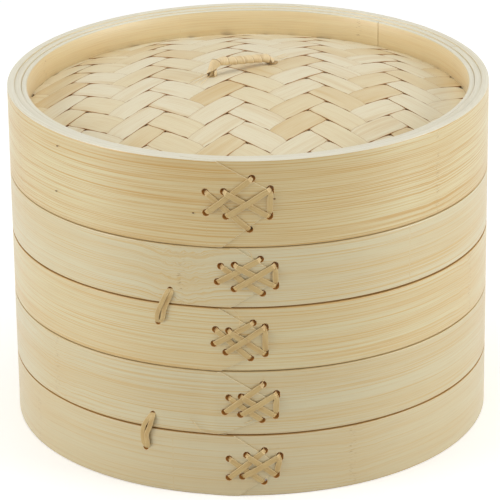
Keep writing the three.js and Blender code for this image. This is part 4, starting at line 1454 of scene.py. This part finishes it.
# Places on the lid's weave: (x, y, height over the weave) in millimetres
LID_FIBRES = (((-22.9, -4.4, 1.2), (-24.9, -9.4, 1.5), (-24.4, -15.0, 0.9)),
              ((-19.9, -5.6, 0.8), (-23.5, -10.7, 0.5), (-27.6, -16.2, 0.3)),
              ((-19.2, -6.9, 0.7), (-21.9, -13.0, 0.5), (-24.9, -19.4, 0.3)),
              ((-20.4, -5.1, 1.0), (-25.5, -8.9, 0.5), (-30.2, -12.8, 0.3)),
              ((13.8, 16.8, 1.4), (17.4, 23.5, 1.0), (20.4, 29.6, 0.6)),
              ((14.0, 16.2, 0.9), (18.6, 21.5, 0.6), (22.4, 26.0, 0.4)))
finishes["fibre"] = lace_finish("fibre", tone(226, 206, 160), tone(206, 172, 116), 95.0, pale_edge_or_shade=0.0)


def fibre(spots, radius=FIBRE_RADIUS, finish="fibre"):
    """A thin tube through the spots, tapering to its ends."""
    points = even_points([Vector(spot) for spot in spots], FIBRE_STEP)
    rings, along = [], []
    for index, spot in enumerate(points):
        ahead = direction_at(points, index)
        side = ahead.orthogonal().normalized()
        other = ahead.cross(side)
        thin = radius * blend(0.55, 1, math.sin(math.pi * index / (len(points) - 1)))
        rings.append([spot + (side * math.cos(turn * math.tau / FIBRE_SIDES)
                              + other * math.sin(turn * math.tau / FIBRE_SIDES)) * thin
                      for turn in range(FIBRE_SIDES)])
        along.append(index * FIBRE_STEP)
    return loft("fibre", rings, along, [finishes[finish]])


for body, fibres in HOOP_FIBRES.items():
    hairs = [fibre([on_circle(angle_of(place * MM), OUTER_RADIUS + (0.5 + off) * MM, height * MM)
                    for place, height, off in spots]) for spots in fibres]
    hair = joined(f"{body}_fibres", hairs)
    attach(hair, body)
hairs = [fibre([Vector((x * MM, y * MM, dome_height(Vector((x * MM, y * MM, 0))) + (0.6 + off) * MM))
                for x, y, off in spots]) for spots in LID_FIBRES]
lid_hair = joined("lid_fibres", hairs)
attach(lid_hair, "lid")
# Small dark specks in the lid's hoop: (along from the front, height)
LID_SPECKS = ((-109.7, 176.2), (-111.9, 151.2), (12.4, 163.1), (-28.2, 155.2))
SPECK_REACH = 0.55
finishes["speck"] = lace_finish("speck", tone(96, 62, 30), tone(70, 44, 22), 97.0, pale_edge_or_shade=0.0)
specks = []
for place, height in LID_SPECKS:
    spots = [on_circle(angle_of((place + side * SPECK_REACH) * MM), OUTER_RADIUS + 0.42 * MM, height * MM)
             for side in (-1, 1)]
    specks.append(fibre(spots, FIBRE_RADIUS * 2, "speck"))
lid_specks = joined("lid_specks", specks)
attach(lid_specks, "lid")
print("fibres on", sorted(HOOP_FIBRES), "and the lid")

# %% The torn holes under the handle, partly painted shade
# The rings' darker browns stand partly for the rough hole and partly as painted shade under the winding's flared
# end.
finishes["torn_and_shaded"] = lace_finish("torn_and_shaded", tone(196, 164, 108), tone(120, 84, 40), 99.0, pale_edge_or_shade=0.0)
TEAR_RADIUS = 2.7 * MM
TEAR_HEIGHT = 0.5 * MM
TEAR_SIDES = 18


def shaded_torn_hole(reach, seed):
    """A low rough ring round a leg of the handle."""
    chance = random.Random(seed)
    centre = handle_spot(reach, 0)
    level = dome_height(centre) + 0.1 * MM
    sizes = [TEAR_RADIUS * chance.uniform(0.82, 1.12) for _ in range(TEAR_SIDES)]
    rings = []
    for share, height in ((1.0, 0.0), (0.96, TEAR_HEIGHT), (CANE_RADIUS / TEAR_RADIUS, TEAR_HEIGHT * 0.55)):
        rings.append([centre + Vector((math.cos(side * math.tau / TEAR_SIDES) * size * share,
                                       math.sin(side * math.tau / TEAR_SIDES) * size * share, level + height))
                      for side, size in enumerate(sizes)])
    return loft("shaded_torn_hole", rings, [0, TEAR_HEIGHT, TEAR_RADIUS], [finishes["torn_and_shaded"]])


tears = joined("lid_shaded_torn_holes", [shaded_torn_hole(-HANDLE_SPAN / 2, 1), shaded_torn_hole(HANDLE_SPAN / 2, 2)])
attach(tears, "lid")

# %% [markdown]
# A plain pale floor and soft light. Two big lamps stand at the sides and one above, so the hoops'
# sides are brighter than their front, as in the photograph. Camera rays that miss the floor see a
# white world, and the floor is near white to the camera but darker to the bounced light, so that
# it doesn't wash out the foot of the steamer.

# %% Floor, light and view
FLOOR_HALF = 6.0
FLOOR_GLOW = 0.24
FLOOR_FADE = (0.5, 1.1)
LAMPS = {
    "left_softbox": dict(place=(-1.75, -0.6, 0.5), size=1.3, power=19),
    "right_softbox": dict(place=(1.75, -0.5, 0.5), size=1.3, power=20),
    "top_softbox": dict(place=(0.0, 0.1, 1.9), size=1.5, power=13),
}
WORLD_LIGHT = 0.4


def add_floor():
    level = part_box("lower_foot_hoop")[0].z
    corners = [(-FLOOR_HALF, -FLOOR_HALF, level), (FLOOR_HALF, -FLOOR_HALF, level),
               (FLOOR_HALF, FLOOR_HALF, level), (-FLOOR_HALF, FLOOR_HALF, level)]
    finish = Finish("floor")
    rays = finish.node("ShaderNodeLightPath", output="Is Camera Ray")
    seen = finish.maths("MAXIMUM", rays, rays.also("Is Glossy Ray"))
    spot = finish.node("ShaderNodeTexCoord", output=3)
    reach = finish.node("ShaderNodeVectorMath", {"operation": "LENGTH"}, {0: spot}, output=1)
    far = finish.step(reach, *FLOOR_FADE)
    shown = finish.mix(far, tone(252, 252, 251), (0, 0, 0, 1))
    glow = finish.mix(far, (FLOOR_GLOW, FLOOR_GLOW, FLOOR_GLOW, 1), (1, 1, 1, 1))
    finish.set("Base Color", finish.mix(seen, tone(205, 203, 196), shown))
    finish.set("Emission Color", finish.mix(seen, (0, 0, 0, 1), glow))
    finish.shader.inputs["Emission Strength"].default_value = 1.0
    finish.set("Roughness", 0.9)
    finish.shader.inputs["Specular IOR Level"].default_value = 0.0
    floor = new_object("floor", corners, [(0, 1, 2, 3)], [finish.material])
    return floor


def add_lamp(name, place, size, power):
    data = bpy.data.lights.new(name, "AREA")
    data.shape = "DISK"
    data.size = size
    data.energy = power
    lamp = bpy.data.objects.new(name, data)
    lamp.location = place
    aim = Vector((0, 0, 90 * MM)) - Vector(place)
    lamp.rotation_euler = aim.to_track_quat("-Z", "Y").to_euler()
    bpy.context.scene.collection.objects.link(lamp)
    return lamp


def add_world():
    world = bpy.data.worlds.new("studio")
    world.use_nodes = True
    bpy.context.scene.world = world
    tree = Tree(world.node_tree)
    tree.nodes.clear()
    rays = tree.node("ShaderNodeLightPath", output="Is Camera Ray")
    seen = tree.maths("MAXIMUM", rays, rays.also("Is Glossy Ray"))
    seen = tree.maths("MAXIMUM", seen, rays.also("Is Transmission Ray"))
    strength = seen * (1 - WORLD_LIGHT) + WORLD_LIGHT
    light = tree.node("ShaderNodeBackground", None, {"Color": (1, 1, 1, 1), "Strength": strength})
    tree.node("ShaderNodeOutputWorld", None, {"Surface": light})


add_floor()
for lamp_name, lamp in LAMPS.items():
    add_lamp(lamp_name, **lamp)
add_world()
bpy.context.scene.view_settings.view_transform = "Standard"
print("lamps:", sorted(LAMPS))
